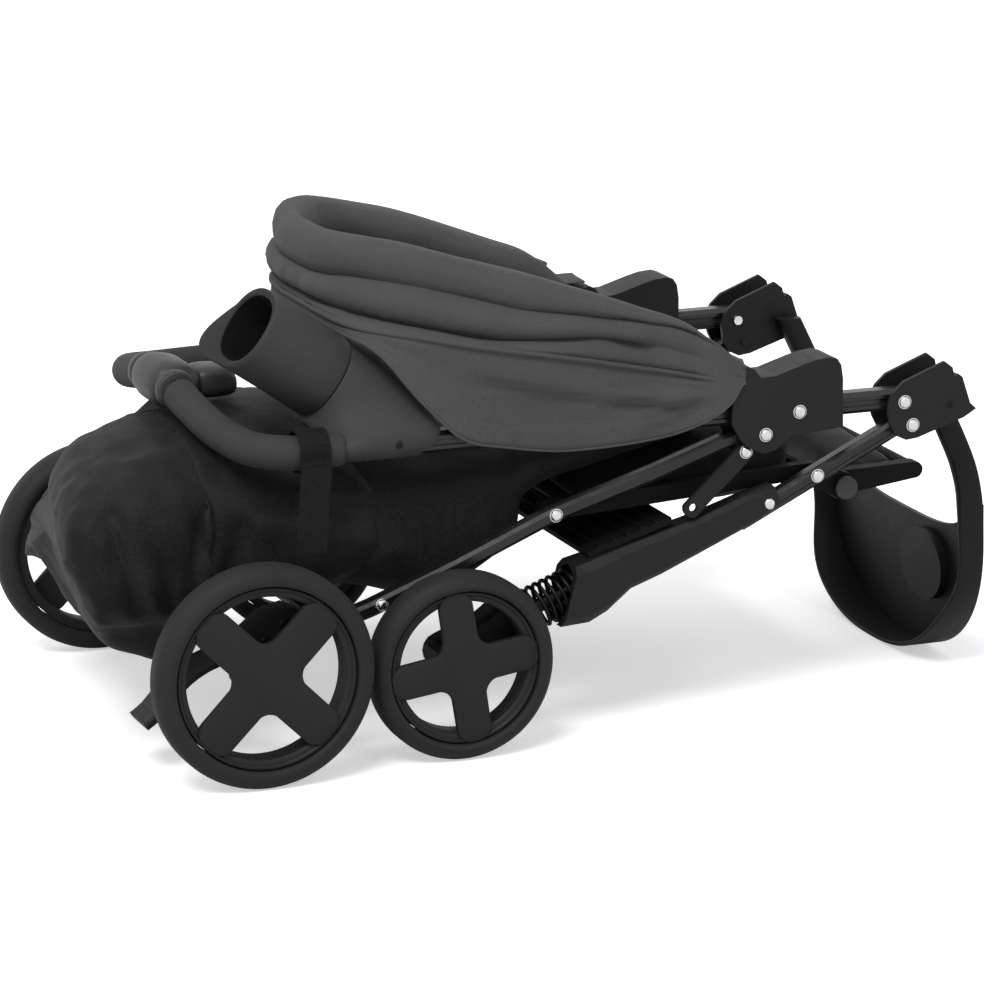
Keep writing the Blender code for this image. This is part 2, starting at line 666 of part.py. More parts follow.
def tray_outline(half_width, bottom, top, back_edge):
    """The tray seen along X: straight sides, a round front lip and a hollowed back edge between the arms."""
    shoulder = bottom + 0.118
    points = [(-half_width, top)]
    steps = 14
    for i in range(steps + 1):
        turn = math.pi * i / steps
        c = math.cos(turn)
        s = math.sin(turn)
        y = -half_width * math.copysign(abs(c) ** 0.80, c)
        z = shoulder - (shoulder - bottom) * s ** 0.92
        points.append((y, z))
    points.append((half_width, top))
    inner = half_width - TRAY_ARM_WIDTH
    points.append((inner, top))
    hollow = 10
    for i in range(hollow + 1):
        turn = math.pi * i / hollow
        c = math.cos(turn)
        y = inner * math.copysign(abs(c) ** 0.6, c)
        z = back_edge + 0.055 - 0.055 * math.sin(turn) ** 0.7
        points.append((y, z))
    points.append((-inner, top))
    return points


def build_tray():
    """The child's tray: a plate with a deep skirt, two arms and an oval cup recess."""
    bottom = 0.0
    outline = tray_outline(TRAY_HALF_WIDTH, bottom, TRAY_TOP, TRAY_BACK_EDGE)
    shape = bmesh.new()
    front_x = TRAY_PLATE_X + TRAY_PLATE_THICKNESS
    back_x = TRAY_PLATE_X - TRAY_SKIRT_DEPTH
    front = [shape.verts.new((front_x, y, z)) for y, z in outline]
    back = [shape.verts.new((back_x, y, z)) for y, z in outline]
    shape.faces.new(front)
    shape.faces.new(list(reversed(back)))
    count = len(outline)
    for i in range(count):
        j = (i + 1) % count
        shape.faces.new((front[j], front[i], back[i], back[j]))
    tray = add_object("child_tray", shape, "front_frame", PLASTIC)
    wall = TRAY_SKIRT_WALL
    pocket = tray_outline(TRAY_HALF_WIDTH - wall, bottom + wall, TRAY_TOP - 0.010, TRAY_BACK_EDGE + 0.002)
    hollow = bmesh.new()
    first = [hollow.verts.new((back_x - 0.01, y, z)) for y, z in pocket]
    second = [hollow.verts.new((TRAY_PLATE_X, y, z)) for y, z in pocket]
    hollow.faces.new(first)
    hollow.faces.new(list(reversed(second)))
    for i in range(count):
        j = (i + 1) % count
        hollow.faces.new((first[j], first[i], second[i], second[j]))
    add_boolean(tray, hollow, "front_frame", "DIFFERENCE")
    cup_y, cup_z = TRAY_CUP
    size_y, size_z = TRAY_CUP_SIZE
    bump = []
    recess = []
    sides = 16
    for i in range(sides):
        turn = 2.0 * math.pi * i / sides
        bump.append((cup_y + size_y * math.cos(turn), cup_z + size_z * math.sin(turn)))
        recess.append((cup_y + (size_y - 0.003) * math.cos(turn), cup_z + (size_z - 0.003) * math.sin(turn)))
    bump_rings = [[Vector((x, y, z)) for y, z in bump]
                  for x in (TRAY_PLATE_X - TRAY_CUP_DEPTH, TRAY_PLATE_X + 0.5 * TRAY_PLATE_THICKNESS)]
    add_boolean(tray, ring_shape(bump_rings), "front_frame", "UNION")
    recess_rings = [[Vector((x, y, z)) for y, z in recess]
                    for x in (TRAY_PLATE_X - TRAY_CUP_DEPTH + 0.003, front_x + 0.01)]
    add_boolean(tray, ring_shape(recess_rings), "front_frame", "DIFFERENCE")
    for side_name, side in SIDES:
        low, high = span(side, TRAY_HALF_WIDTH - TRAY_ARM_WIDTH + 0.0005, SHELL_INNER - FIT)
        add_boolean(tray, prism(TRAY_MOUNT_OUTLINE, low, high), "front_frame", "UNION")


TRAY_MOUNT_OUTLINE = [(0.5950, 0.2340), (0.6120, 0.2240), (0.6240, 0.2110),
                      (TRAY_PLATE_X - 0.0310, 0.1900), (TRAY_PLATE_X - 0.0240, 0.1720),
                      (TRAY_PLATE_X - 0.0240, 0.1500), (TRAY_PLATE_X + 0.0038, 0.1500),
                      (TRAY_PLATE_X + 0.0032, 0.1750), (TRAY_PLATE_X - 0.0020, 0.1980),
                      (TRAY_PLATE_X - 0.0120, 0.2190), (0.6420, 0.2390), (0.6390, 0.2620), (0.6320, 0.2800),
                      (0.6150, 0.2850), (0.5950, 0.2740)]


for side_name, side in SIDES:
    build_hub(side_name, side)
    build_leg_tube(side_name, side)
    build_housing(side_name, side)
    build_strut(side_name, side)
build_footrest()
build_tray()


# Handle frame: tubes, armrest brackets, bow, grips, release unit and cup holder
BRACKET_OUTLINE = [(0.4222, 0.2525), (0.4300, 0.2385), (0.4372, 0.2316), (0.4497, 0.2254), (0.4614, 0.2276),
                   (0.4759, 0.2381), (0.5222, 0.2416), (0.5220, 0.2684), (0.5222, 0.2828), (0.5206, 0.2945),
                   (0.5172, 0.3000), (0.5110, 0.3020), (0.4990, 0.3010), (0.4877, 0.2982), (0.4616, 0.2904),
                   (0.4482, 0.2900), (0.4425, 0.2978), (0.4362, 0.3003), (0.4292, 0.2985), (0.4249, 0.2900)]
BRACKET_CAVITY = [(0.4150, 0.2100), (0.5400, 0.2100), (0.5400, 0.2900), (0.5160, 0.2974), (0.4880, 0.2936),
                  (0.4640, 0.2862), (0.4480, 0.2800), (0.4150, 0.2800)]
BRACKET_RIVET = (0.4831, 0.2580)


def build_bracket(side_name, side):
    """The armrest bracket: a channel over the handle tube with the rear leg's pivot in its lower lobe."""
    low, high = span(side, SHELL_INNER, SHELL_OUTER)
    bracket = add_object("arm_bracket_" + side_name, prism(BRACKET_OUTLINE, low, high), "handle_frame", PLASTIC)
    low, high = span(side, SHELL_INNER + SHELL_WALL, SHELL_OUTER - SHELL_WALL)
    add_boolean(bracket, prism(BRACKET_CAVITY, low, high), "handle_frame", "DIFFERENCE")
    pin_hole(bracket, REAR_LEG_PIVOT, SHELL_INNER, SHELL_OUTER, side, "handle_frame")
    add_rivet(bracket, BRACKET_RIVET, SHELL_INNER, SHELL_OUTER, side, "handle_frame")
    pin_hole(bracket, CANOPY_PIVOT, SHELL_INNER, SHELL_INNER + SHELL_WALL, side, "handle_frame")
    add_pin("rear_leg_pin_" + side_name, REAR_LEG_PIVOT, SHELL_INNER, SHELL_OUTER, side, "handle_frame")


def handle_line(distance, side):
    """A point on the handle tube's centre line, measured from the fold pivot."""
    return point(FOLD_PIVOT, side * TUBE_PLANE) + HANDLE_AXIS * distance


def build_handle_tube(side_name, side):
    """The ribbed handle tube, pivoted in the hub."""
    section = ribbed_section(HANDLE_TUBE_WIDTH, HANDLE_TUBE_HEIGHT)
    path = [handle_line(-HANDLE_TUBE_END, side), handle_line(HANDLE_TUBE_LENGTH, side)]
    tube = add_object("handle_tube_" + side_name, ring_shape(sweep_rings(path, lambda t: section)),
                      "handle_frame", TUBE)
    inner = TUBE_PLANE - 0.5 * HANDLE_TUBE_WIDTH
    outer = TUBE_PLANE + 0.5 * HANDLE_TUBE_WIDTH
    pin_hole(tube, FOLD_PIVOT, inner, outer, side, "handle_frame")
    pin_hole(tube, BRACKET_RIVET, inner, outer, side, "handle_frame")


# The bow's bend, the release unit, the cup holder and the strap, measured in X from the tube's end
HANDLE_BEND = [(-0.0574, 0.1800, 0.2620), (-0.0864, 0.1640, 0.2665), (-0.1014, 0.1250, 0.2740),
               (-0.1074, 0.0750, 0.2820), (-0.1094, 0.0380, 0.2875)]
HANDLE_MIDDLE = (HANDLE_END_X - 0.1099, 0.2890)


def handle_route(side, start):
    """The bow's centre line from the end of the tube to the middle."""
    first = handle_line(start, side)
    points = [first, first + HANDLE_AXIS * 0.022]
    points += [Vector((HANDLE_END_X + x, side * y, z)) for x, y, z in HANDLE_BEND]
    return points


def build_bow():
    """The bent steel bow that joins both handle tubes through the release unit."""
    start = HANDLE_TUBE_LENGTH + FIT
    route = handle_route(-1.0, start)
    route.append(Vector((HANDLE_MIDDLE[0], 0.0, HANDLE_MIDDLE[1])))
    route += list(reversed(handle_route(1.0, start)))
    tube = oval_section(2.0 * BOW_RADIUS, 2.0 * BOW_RADIUS, 10, 2.0)
    rings = sweep_rings(smooth_path(route, 2), lambda t: tube, Vector((0.0, 0.0, 1.0)))
    add_object("handle_bow", ring_shape(rings), "handle_frame", TUBE)


def sleeve(path, outer, inner, side):
    """A hollow sleeve along a path, open at both ends."""
    shape = bmesh.new()
    outer_loops = [[shape.verts.new(p) for p in ring] for ring in sweep_rings(path, lambda t: outer, side)]
    inner_loops = [[shape.verts.new(p) for p in ring] for ring in sweep_rings(path, lambda t: inner, side)]
    size = len(outer)
    for loops in (outer_loops, inner_loops):
        for first, second in zip(loops, loops[1:]):
            for i in range(size):
                j = (i + 1) % size
                shape.faces.new((first[i], first[j], second[j], second[i]))
    for end in (0, -1):
        for i in range(size):
            j = (i + 1) % size
            shape.faces.new((outer_loops[end][i], outer_loops[end][j], inner_loops[end][j], inner_loops[end][i]))
    return shape


def build_grips():
    """The two foam grips on the bow."""
    up = Vector((0.0, 0.0, 1.0))
    start = HANDLE_TUBE_LENGTH + FIT
    outer = oval_section(2.0 * GRIP_RADIUS, 2.0 * GRIP_RADIUS, 10, 2.0)
    bore = 2.0 * (BOW_RADIUS + GRIP_TUBE_FIT)
    inner = oval_section(bore, bore, 10, 2.0)
    for side_name, side in SIDES:
        route = handle_route(side, start)
        route.append(Vector((HANDLE_MIDDLE[0], 0.0, HANDLE_MIDDLE[1])))
        route.append(handle_route(-side, start)[-1])
        path = smooth_path(route, 2)
        limit = COLLAR_PLANE + 0.5 * COLLAR_WIDTH
        grip_path = [p for p in path if side * p.y > limit + 0.004]
        add_object("handle_grip_" + side_name, sleeve(grip_path, outer, inner, up), "handle_frame", FOAM)


UNIT_HALF_WIDTH = 0.0290
NECK_RADIUS = 0.0138
UNIT_SECTION = [(-0.0150, 0.2740), (-0.0165, 0.2890), (-0.0105, 0.3040), (0.0035, 0.3085), (0.0225, 0.3060),
                (0.0280, 0.2990), (0.0280, 0.2740), (0.0175, 0.2680), (-0.0045, 0.2680)]
UNIT_SLOT = [(0.0155, 0.2800), (0.0375, 0.2800), (0.0375, 0.2925), (0.0155, 0.2925)]
LEVER_SECTION = [(0.0350, 0.2745), (0.0350, 0.2950), (0.0390, 0.2985), (0.0480, 0.2995), (0.0570, 0.2955),
                 (0.0610, 0.2860), (0.0580, 0.2765), (0.0490, 0.2715), (0.0400, 0.2715)]
LEVER_TONGUE = [(0.0235, 0.2805), (0.0405, 0.2805), (0.0405, 0.2920), (0.0235, 0.2920)]


def from_middle(outline):
    """A side-view outline measured in X from the middle of the bow."""
    return [(HANDLE_MIDDLE[0] + x, z) for x, z in outline]


def build_release_unit():
    """The one-hand fold release in the middle of the bow, with its squeeze lever."""
    unit = add_object("release_housing", prism(from_middle(UNIT_SECTION), -UNIT_HALF_WIDTH, UNIT_HALF_WIDTH),
                      "handle_frame", GREY_PLASTIC)
    add_bevel(unit, 0.0030, 1)
    middle = Vector((HANDLE_MIDDLE[0], 0.0, HANDLE_MIDDLE[1] - 0.0006))
    reach = COLLAR_PLANE + 0.5 * COLLAR_WIDTH
    across = Vector((0.0, 1.0, 0.0))
    add_boolean(unit, rod(middle - across * reach, middle + across * reach, NECK_RADIUS, 12),
                "handle_frame", "UNION")
    for side_name, side in SIDES:
        inner = middle + across * side * (COLLAR_PLANE - 0.5 * COLLAR_WIDTH)
        add_boolean(unit, rod(inner, inner + across * side * COLLAR_WIDTH, COLLAR_RADIUS, 14),
                    "handle_frame", "UNION")
    reach += 0.004
    add_boolean(unit, rod(middle - across * reach, middle + across * reach, BOW_RADIUS + 0.0022, 12),
                "handle_frame", "DIFFERENCE")
    add_boolean(unit, prism(from_middle(UNIT_SLOT), -0.0110, 0.0110), "handle_frame", "DIFFERENCE")
    lever = add_object("release_lever", prism(from_middle(LEVER_SECTION), -0.0210, 0.0210),
                       "fold_release", GREY_PLASTIC)
    add_boolean(lever, prism(from_middle(LEVER_TONGUE), -0.0100, 0.0100), "fold_release", "UNION")


def cup_ring(distance, half_width, half_height, sides=22):
    """An oval ring square to the cup's axis, at a distance below its mouth."""
    axis = direction(CUP_AXIS)
    across = direction(CUP_AXIS - 90.0)
    centre = point(CUP_MOUTH, -CUP_PLANE) - axis * distance
    ring = []
    for i in range(sides):
        turn = 2.0 * math.pi * i / sides
        ring.append(centre + across * (half_height * math.cos(turn))
                    + Vector((0.0, half_width * math.sin(turn), 0.0)))
    return ring


def build_cup_holder():
    """The parent's cup holder and the clip that carries it on the right handle tube."""
    rings = []
    for distance, share in ((0.0, 1.0), (0.5 * CUP_DEPTH, 1.01), (CUP_DEPTH, 1.02)):
        rings.append(cup_ring(distance, CUP_HALF_WIDTH * share, CUP_HALF_HEIGHT * share))
    for distance, share in ((CUP_DEPTH - CUP_FLOOR, 1.02), (0.5 * CUP_DEPTH, 1.01), (0.0, 1.0)):
        rings.append(cup_ring(distance, CUP_HALF_WIDTH * share - CUP_WALL, CUP_HALF_HEIGHT * share - CUP_WALL))
    shape = bmesh.new()
    loops = [[shape.verts.new(p) for p in ring] for ring in rings]
    size = len(loops[0])
    pairs = [(0, 1), (1, 2), (3, 4), (4, 5), (5, 0)]
    for a, b in pairs:
        for i in range(size):
            j = (i + 1) % size
            shape.faces.new((loops[a][i], loops[a][j], loops[b][j], loops[b][i]))
    shape.faces.new(loops[2])
    shape.faces.new(list(reversed(loops[3])))
    add_object("cup_holder", shape, "handle_frame", GREY_PLASTIC)

    floor = CUP_DEPTH + FIT
    size = 16
    rings = [cup_ring(floor, CUP_HALF_WIDTH * 1.02, CUP_HALF_HEIGHT * 1.02, size),
             cup_ring(floor + 0.014, CUP_HALF_WIDTH * 1.02, CUP_HALF_HEIGHT * 1.00, size)]
    tube_top = FOLD_PIVOT[1] + 0.5 * HANDLE_TUBE_HEIGHT + 0.0055
    for middle_x, middle_y, half_x, half_y, z in ((0.0300, -0.1300, 0.0400, 0.0420, tube_top + 0.022),
                                                  (0.0375, -0.1440, 0.0410, 0.0460, tube_top + 0.002)):
        ring = []
        for i in range(size):
            turn = 2.0 * math.pi * i / size
            c = math.cos(turn)
            s = math.sin(turn)
            x = HANDLE_END_X + middle_x + half_x * math.copysign(abs(c) ** 0.8, c)
            ring.append(Vector((x, middle_y + half_y * math.copysign(abs(s) ** 0.8, s), z)))
        rings.append(ring)
    clip = add_object("cup_holder_clip", ring_shape(rings), "handle_frame", GREY_PLASTIC)
    foot_low = FOLD_PIVOT[1] - 0.5 * HANDLE_TUBE_HEIGHT - 0.004
    foot = [(HANDLE_END_X + x, z) for x, z in ((0.0000, tube_top + 0.006), (0.0000, foot_low), (0.0560, foot_low),
                                               (0.0760, foot_low + 0.004), (0.0760, tube_top + 0.006))]
    add_boolean(clip, prism(foot, -0.1940, -0.1560), "handle_frame", "UNION")
    room = oval_section(HANDLE_TUBE_WIDTH + 0.0010, HANDLE_TUBE_HEIGHT + 0.0010, 12, 8.0)
    path = [handle_line(HANDLE_TUBE_LENGTH - 0.096, -1.0), handle_line(HANDLE_TUBE_LENGTH + 0.024, -1.0)]
    add_boolean(clip, ring_shape(sweep_rings(path, lambda t: room)), "handle_frame", "DIFFERENCE")


for side_name, side in SIDES:
    build_bracket(side_name, side)
    build_handle_tube(side_name, side)
build_bow()
build_grips()
build_release_unit()
build_cup_holder()


# Rear frame: legs, axle brackets, axle, cross tube, brake and recline arms
REAR_LEG_ROUTE = [(0.0200, 0.0975), (0.0560, 0.1075), (0.1114, 0.1243), (0.1850, 0.1520), SEAT_REAR_JOINT,
                  (0.3600, 0.2140), (0.4200, 0.2340), REAR_LEG_PIVOT, (0.4577, 0.2424)]
AXLE_BRACKET_OUTLINE = [(-0.0140, 0.0800), (0.0000, 0.0750), (0.0150, 0.0790), (0.0420, 0.0930),
                        (0.0560, 0.1040), (0.0480, 0.1330), (0.0300, 0.1410), (0.0100, 0.1360),
                        (-0.0050, 0.1240), (-0.0170, 0.1020)]
CROSS_TUBE = (0.0750, 0.1130)
CROSS_TUBE_RADIUS = 0.0075
LUG_THICKNESS = 0.0030


def build_rear_leg(side_name, side):
    """The curved rear leg, with the pivot hole at its upper end."""
    route = [point(p, side * REAR_LEG_PLANE) for p in REAR_LEG_ROUTE]
    path = route
    last = len(path) - 1

    def section(t):
        height = REAR_LEG_HEIGHT * (0.55 if t * last > last - 0.5 else 1.0)
        return oval_section(REAR_LEG_WIDTH, height, 10, 3.0)

    leg = add_object("rear_leg_" + side_name, ring_shape(sweep_rings(path, section)),
                     "rear_frame", TUBE)
    inner = REAR_LEG_PLANE - 0.5 * REAR_LEG_WIDTH
    outer = REAR_LEG_PLANE + 0.5 * REAR_LEG_WIDTH
    pin_hole(leg, REAR_LEG_PIVOT, inner, outer, side, "rear_frame")
    add_rivet(leg, SEAT_REAR_JOINT, inner + PIN_HEAD_THICKNESS - 0.0006, outer, side, "rear_frame")
    lug = arc(RECLINE_PIVOT, 0.0085, 120.0, 330.0, 8) + [(0.4440, 0.2380), (0.4300, 0.2410)]
    add_boolean(leg, prism(lug, *span(side, outer - 0.004, outer + LUG_THICKNESS)), "rear_frame", "UNION")
    low, high = span(side, outer, RECLINE_ARM_OUTER + 0.0010)
    add_boolean(leg, disc(RECLINE_PIVOT, low, high, PIN_RADIUS, 12), "rear_frame", "UNION")
    low, high = span(side, RECLINE_ARM_OUTER + FIT, RECLINE_ARM_OUTER + FIT + 0.0013)
    add_boolean(leg, disc(RECLINE_PIVOT, low, high, 0.0048, 12), "rear_frame", "UNION")
    low, high = span(side, AXLE_BRACKET_INNER, AXLE_BRACKET_OUTER)
    bracket = add_object("rear_axle_bracket_" + side_name, prism(AXLE_BRACKET_OUTLINE, low, high),
                         "rear_frame", PLASTIC)
    pin_hole(bracket, REAR_AXLE, AXLE_BRACKET_INNER, AXLE_BRACKET_OUTER, side, "rear_frame", AXLE_RADIUS + FIT)


def build_rear_axle():
    """The steel axle and the cross tube between the legs."""
    add_object("rear_axle", disc(REAR_AXLE, -AXLE_END, AXLE_END, AXLE_RADIUS, 14), "rear_frame", STEEL)
    reach = REAR_LEG_PLANE - 0.5 * REAR_LEG_WIDTH - FIT
    add_object("rear_cross_tube", disc(CROSS_TUBE, -reach, reach, CROSS_TUBE_RADIUS, 14), "rear_frame", TUBE)


BRAKE_HUB_RADIUS = 0.0105
BRAKE_INNER = 0.1240
BRAKE_OUTER = 0.1700
BRAKE_LINE = [(-0.0085, 0.0895), (-0.0260, 0.0835), (-0.0420, 0.0740), (-0.0560, 0.0610), (-0.0680, 0.0480),
              (-0.0790, 0.0400)]
BRAKE_THICKNESS = 0.0070


def build_brake():
    """The foot brake: a curved pedal on the axle, with the rod that links both wheels' dogs."""
    path = [point(p, -0.5 * (BRAKE_INNER + BRAKE_OUTER)) for p in BRAKE_LINE]
    width = BRAKE_OUTER - BRAKE_INNER
    section = oval_section(width, BRAKE_THICKNESS, 10, 5.0)
    pedal = add_object("brake_pedal", ring_shape(sweep_rings(smooth_path(path, 2), lambda t: section)),
                       "brake", PLASTIC)
    add_boolean(pedal, disc(REAR_AXLE, -BRAKE_OUTER, -BRAKE_INNER, BRAKE_HUB_RADIUS, 20), "brake", "UNION")
    add_boolean(pedal, disc(REAR_AXLE, -BRAKE_OUTER - 0.002, -BRAKE_INNER + 0.002, AXLE_RADIUS + PIN_FIT, 14),
                "brake", "DIFFERENCE")


RECLINE_EYE = (0.3895, 0.1838)
RECLINE_EYE_RADIUS = 0.0085
RECLINE_ARM_INNER = 0.1918
RECLINE_ARM_OUTER = 0.1960


def build_recline_arm(side_name, side):
    """The flat recline arm with its round eye."""
    run = point(RECLINE_EYE) - point(RECLINE_PIVOT)
    lean = math.degrees(math.atan2(run.z, run.x))
    outline = arc(RECLINE_PIVOT, 0.0075, lean - 270.0, lean - 90.0, 8)
    outline += arc(RECLINE_EYE, RECLINE_EYE_RADIUS, lean - 60.0, lean + 60.0, 8)
    low, high = span(side, RECLINE_ARM_INNER, RECLINE_ARM_OUTER)
    arm = add_object("recline_arm_" + side_name, prism(outline, low, high), "recline_arms", TUBE)
    pin_hole(arm, RECLINE_PIVOT, RECLINE_ARM_INNER, RECLINE_ARM_OUTER, side, "recline_arms")
    pin_hole(arm, RECLINE_EYE, RECLINE_ARM_INNER, RECLINE_ARM_OUTER, side, "recline_arms", 0.0035)


for side_name, side in SIDES:
    build_rear_leg(side_name, side)
    build_recline_arm(side_name, side)
build_rear_axle()
build_brake()


# Seat frame: rails, cross bars, calf rest and its buttons
RAIL_HEIGHT = 0.0130
RAIL_END_RADIUS = 0.0085
CALF_HINGE_RADIUS = 0.0120


def rail_outline():
    """The flat rail from the seat's rear end over the front pivot to the calf rest's hinge."""
    half = 0.5 * RAIL_HEIGHT
    outline = arc(SEAT_REAR_JOINT, RAIL_END_RADIUS, 90.0, 270.0, 5)
    outline += [(0.3200, 0.1860 - half + 0.002), (SEAT_PIVOT[0] - 0.012, SEAT_PIVOT[1] - half - 0.001)]
    outline += arc(CALF_PIVOT, CALF_HINGE_RADIUS, 215.0, 420.0, 8)
    outline += [(SEAT_PIVOT[0] + 0.004, SEAT_PIVOT[1] + half), (0.3200, 0.1900 + half)]
    return outline


SEAT_BAR_RADIUS = 0.0055
SEAT_REAR_BAR = (0.2960, 0.1880)
SEAT_FRONT_BAR = (0.5090, 0.1965)
CALF_ARM_INNER = 0.1440
CALF_BAR = (0.6080, 0.1870)
CALF_PAD_THICKNESS = 0.0300


def build_seat_frame():
    """The welded seat frame: a flat rail each side, and two cross bars under the seat cloth."""
    frame = add_object("seat_frame", prism(rail_outline(), -RAIL_OUTER, -RAIL_INNER), "seat_frame", TUBE)
    add_boolean(frame, prism(rail_outline(), RAIL_INNER, RAIL_OUTER), "seat_frame", "UNION")
    reach = RAIL_INNER + 0.002
    for spot in (SEAT_REAR_BAR, SEAT_FRONT_BAR):
        add_boolean(frame, disc(spot, -reach, reach, SEAT_BAR_RADIUS, 10), "seat_frame", "UNION")
    for side_name, side in SIDES:
        pin_hole(frame, CALF_PIVOT, RAIL_INNER, RAIL_OUTER, side, "seat_frame")
        add_rivet(frame, SEAT_PIVOT, RAIL_INNER, TUBE_PLANE + 0.5 * LEG_TUBE_WIDTH + FIT + 0.0004, side,
                  "seat_frame")


def build_calf_rest():
    """Two hinged arms with a bar and a padded band between them, and the hinge buttons."""
    outer = RAIL_INNER - FIT
    run = point(CALF_BAR) - point(CALF_PIVOT)
    lean = math.degrees(math.atan2(run.z, run.x))
    outline = arc(CALF_PIVOT, CALF_HINGE_RADIUS, lean + 60.0, lean + 300.0, 10)
    outline += arc(CALF_BAR, 0.0070, lean - 80.0, lean + 80.0, 6)
    frame = add_object("calf_frame", prism(outline, -outer, -CALF_ARM_INNER), "calf_rest", PLASTIC)
    add_boolean(frame, prism(outline, CALF_ARM_INNER, outer), "calf_rest", "UNION")
    bar = disc(CALF_BAR, -CALF_ARM_INNER - 0.002, CALF_ARM_INNER + 0.002, 0.0055, 12)
    add_boolean(frame, bar, "calf_rest", "UNION")
    for side_name, side in SIDES:
        pin_hole(frame, CALF_PIVOT, CALF_ARM_INNER, outer, side, "calf_rest")
        stub = disc(CALF_PIVOT, *span(side, CALF_ARM_INNER + 0.002, RAIL_OUTER + 0.0045), PIN_RADIUS, 12)
        button = add_object("calf_button_" + side_name, stub, "calf_button_" + side_name, GREY_PLASTIC)
        low, high = span(side, RAIL_OUTER + 0.0035, RAIL_OUTER + 0.0068)
        add_boolean(button, disc(CALF_PIVOT, low, high, 0.0098, 16), "calf_button_" + side_name, "UNION")
    reach = CALF_ARM_INNER - FIT
    rings = []
    sides = 16
    sections = 9
    for k in range(sections):
        share = -1.0 + 2.0 * k / (sections - 1)
        y = reach * share
        sag = 0.010 * (1.0 - share * share)
        ring = []
        for i in range(sides):
            turn = 2.0 * math.pi * i / sides
            c = math.cos(turn)
            s = math.sin(turn)
            x = 0.5720 + 0.0270 * math.copysign(abs(c) ** 0.8, c)
            thick = 0.5 * CALF_PAD_THICKNESS * (1.0 - 0.25 * share ** 4)
            z = 0.1930 - sag + thick * math.copysign(abs(s) ** 0.8, s)
            ring.append(Vector((x, y, z)))
        rings.append(ring)
    add_object("calf_pad", ring_shape(rings), "calf_rest", DARK_FABRIC)


build_seat_frame()
build_calf_rest()


# Canopy: three fabric layers round two flat bows, folded over the handle tubes
def canopy_path(angle, length, steps=18, trim=8.0, half_width=CANOPY_HALF_WIDTH):
    """The layer's centre line: a blunt half ellipse in a plane tilted about the canopy pivots."""
    outward = direction(angle)
    pivot = point(CANOPY_PIVOT)
    power = 2.0 / CANOPY_ROUNDNESS
    path = []
    for i in range(steps + 1):
        turn = math.radians(-90.0 + trim + (180.0 - 2.0 * trim) * i / steps)
        y = half_width * math.copysign(abs(math.sin(turn)) ** power, math.sin(turn))
        reach = length * math.cos(turn) ** power
        path.append(pivot + outward * reach + Vector((0.0, y, 0.0)))
    return path


def canopy_roll_width(width, reach):
    """A layer's width, which narrows towards the pivots."""
    return min(width, 0.35 * width + 0.9 * width * reach / 0.2)


def build_canopy_roll(name, body, angle, length, lift, width, height, share, gathers, material):
    """One padded layer of the folded canopy, gathered along its length and thin at the pivots."""
    normal = direction(angle + 90.0)
    pivot = point(CANOPY_PIVOT)
    outward = direction(angle)
    path = [spot - normal * lift for spot in canopy_path(angle, length, CANOPY_STEPS)]
    last = len(path) - 1

    def section(t):
        reach = (path[round(t * last)] - pivot).dot(outward)
        fold = 1.0 + 0.05 * math.sin(2.0 * math.pi * gathers * t)
        room = 0.0085 + CANOPY_TAPER * reach
        tall = min(height, 2.0 * share * room) * fold
        return oval_section(tall, canopy_roll_width(width, reach), 12, 2.4)

    add_object(name, ring_shape(sweep_rings(path, section, normal)), body, material)


CANOPY_STEPS = 22
CANOPY_FRONT_ANGLE = 160.4
CANOPY_FRONT_LENGTH = 0.3546
CANOPY_FRONT_LIFT = 0.006
CANOPY_FRONT_WIDTH = 0.035
CANOPY_MIDDLE_ANGLE = 163.0
CANOPY_MIDDLE_LENGTH = 0.3680
CANOPY_MIDDLE_LIFT = -0.0019
CANOPY_TAPER = math.sin(math.radians(CANOPY_MIDDLE_ANGLE - CANOPY_FRONT_ANGLE))
CANOPY_REAR_ANGLE = 166.5
CANOPY_REAR_LENGTH = 0.3580
CANOPY_BOW_INSET = 0.0012
CANOPY_BOW_REACH = 0.1570
SKIRT_PLANE = 0.1975
SKIRT_STRAIGHT = 0.2450
SKIRT_START = 0.0160

build_canopy_roll("canopy_front_roll", "canopy_front", CANOPY_FRONT_ANGLE, CANOPY_FRONT_LENGTH,
                  CANOPY_FRONT_LIFT, CANOPY_FRONT_WIDTH, 0.0320, 0.62, 7.0, GREY_FABRIC)
build_canopy_roll("canopy_middle_roll", "canopy_middle", CANOPY_MIDDLE_ANGLE, CANOPY_MIDDLE_LENGTH,
                  CANOPY_MIDDLE_LIFT, 0.0320, 0.0150, 0.28, 5.0, GREY_FABRIC)

# How far the rear layer hangs below its seam, by the distance from the canopy pivot
SKIRT_DROP = [(0.016, 0.030), (0.040, 0.050), (0.131, 0.074), (0.215, 0.084), (0.245, 0.080),
              (0.270, 0.058), (0.290, 0.034), (0.312, 0.018), (0.400, 0.014)]


def skirt_drop(reach):
    """The hang at a distance from the pivot."""
    for (r0, d0), (r1, d1) in zip(SKIRT_DROP, SKIRT_DROP[1:]):
        if reach <= r1:
            return d0 + (d1 - d0) * max(0.0, (reach - r0) / (r1 - r0))
    return SKIRT_DROP[-1][1]


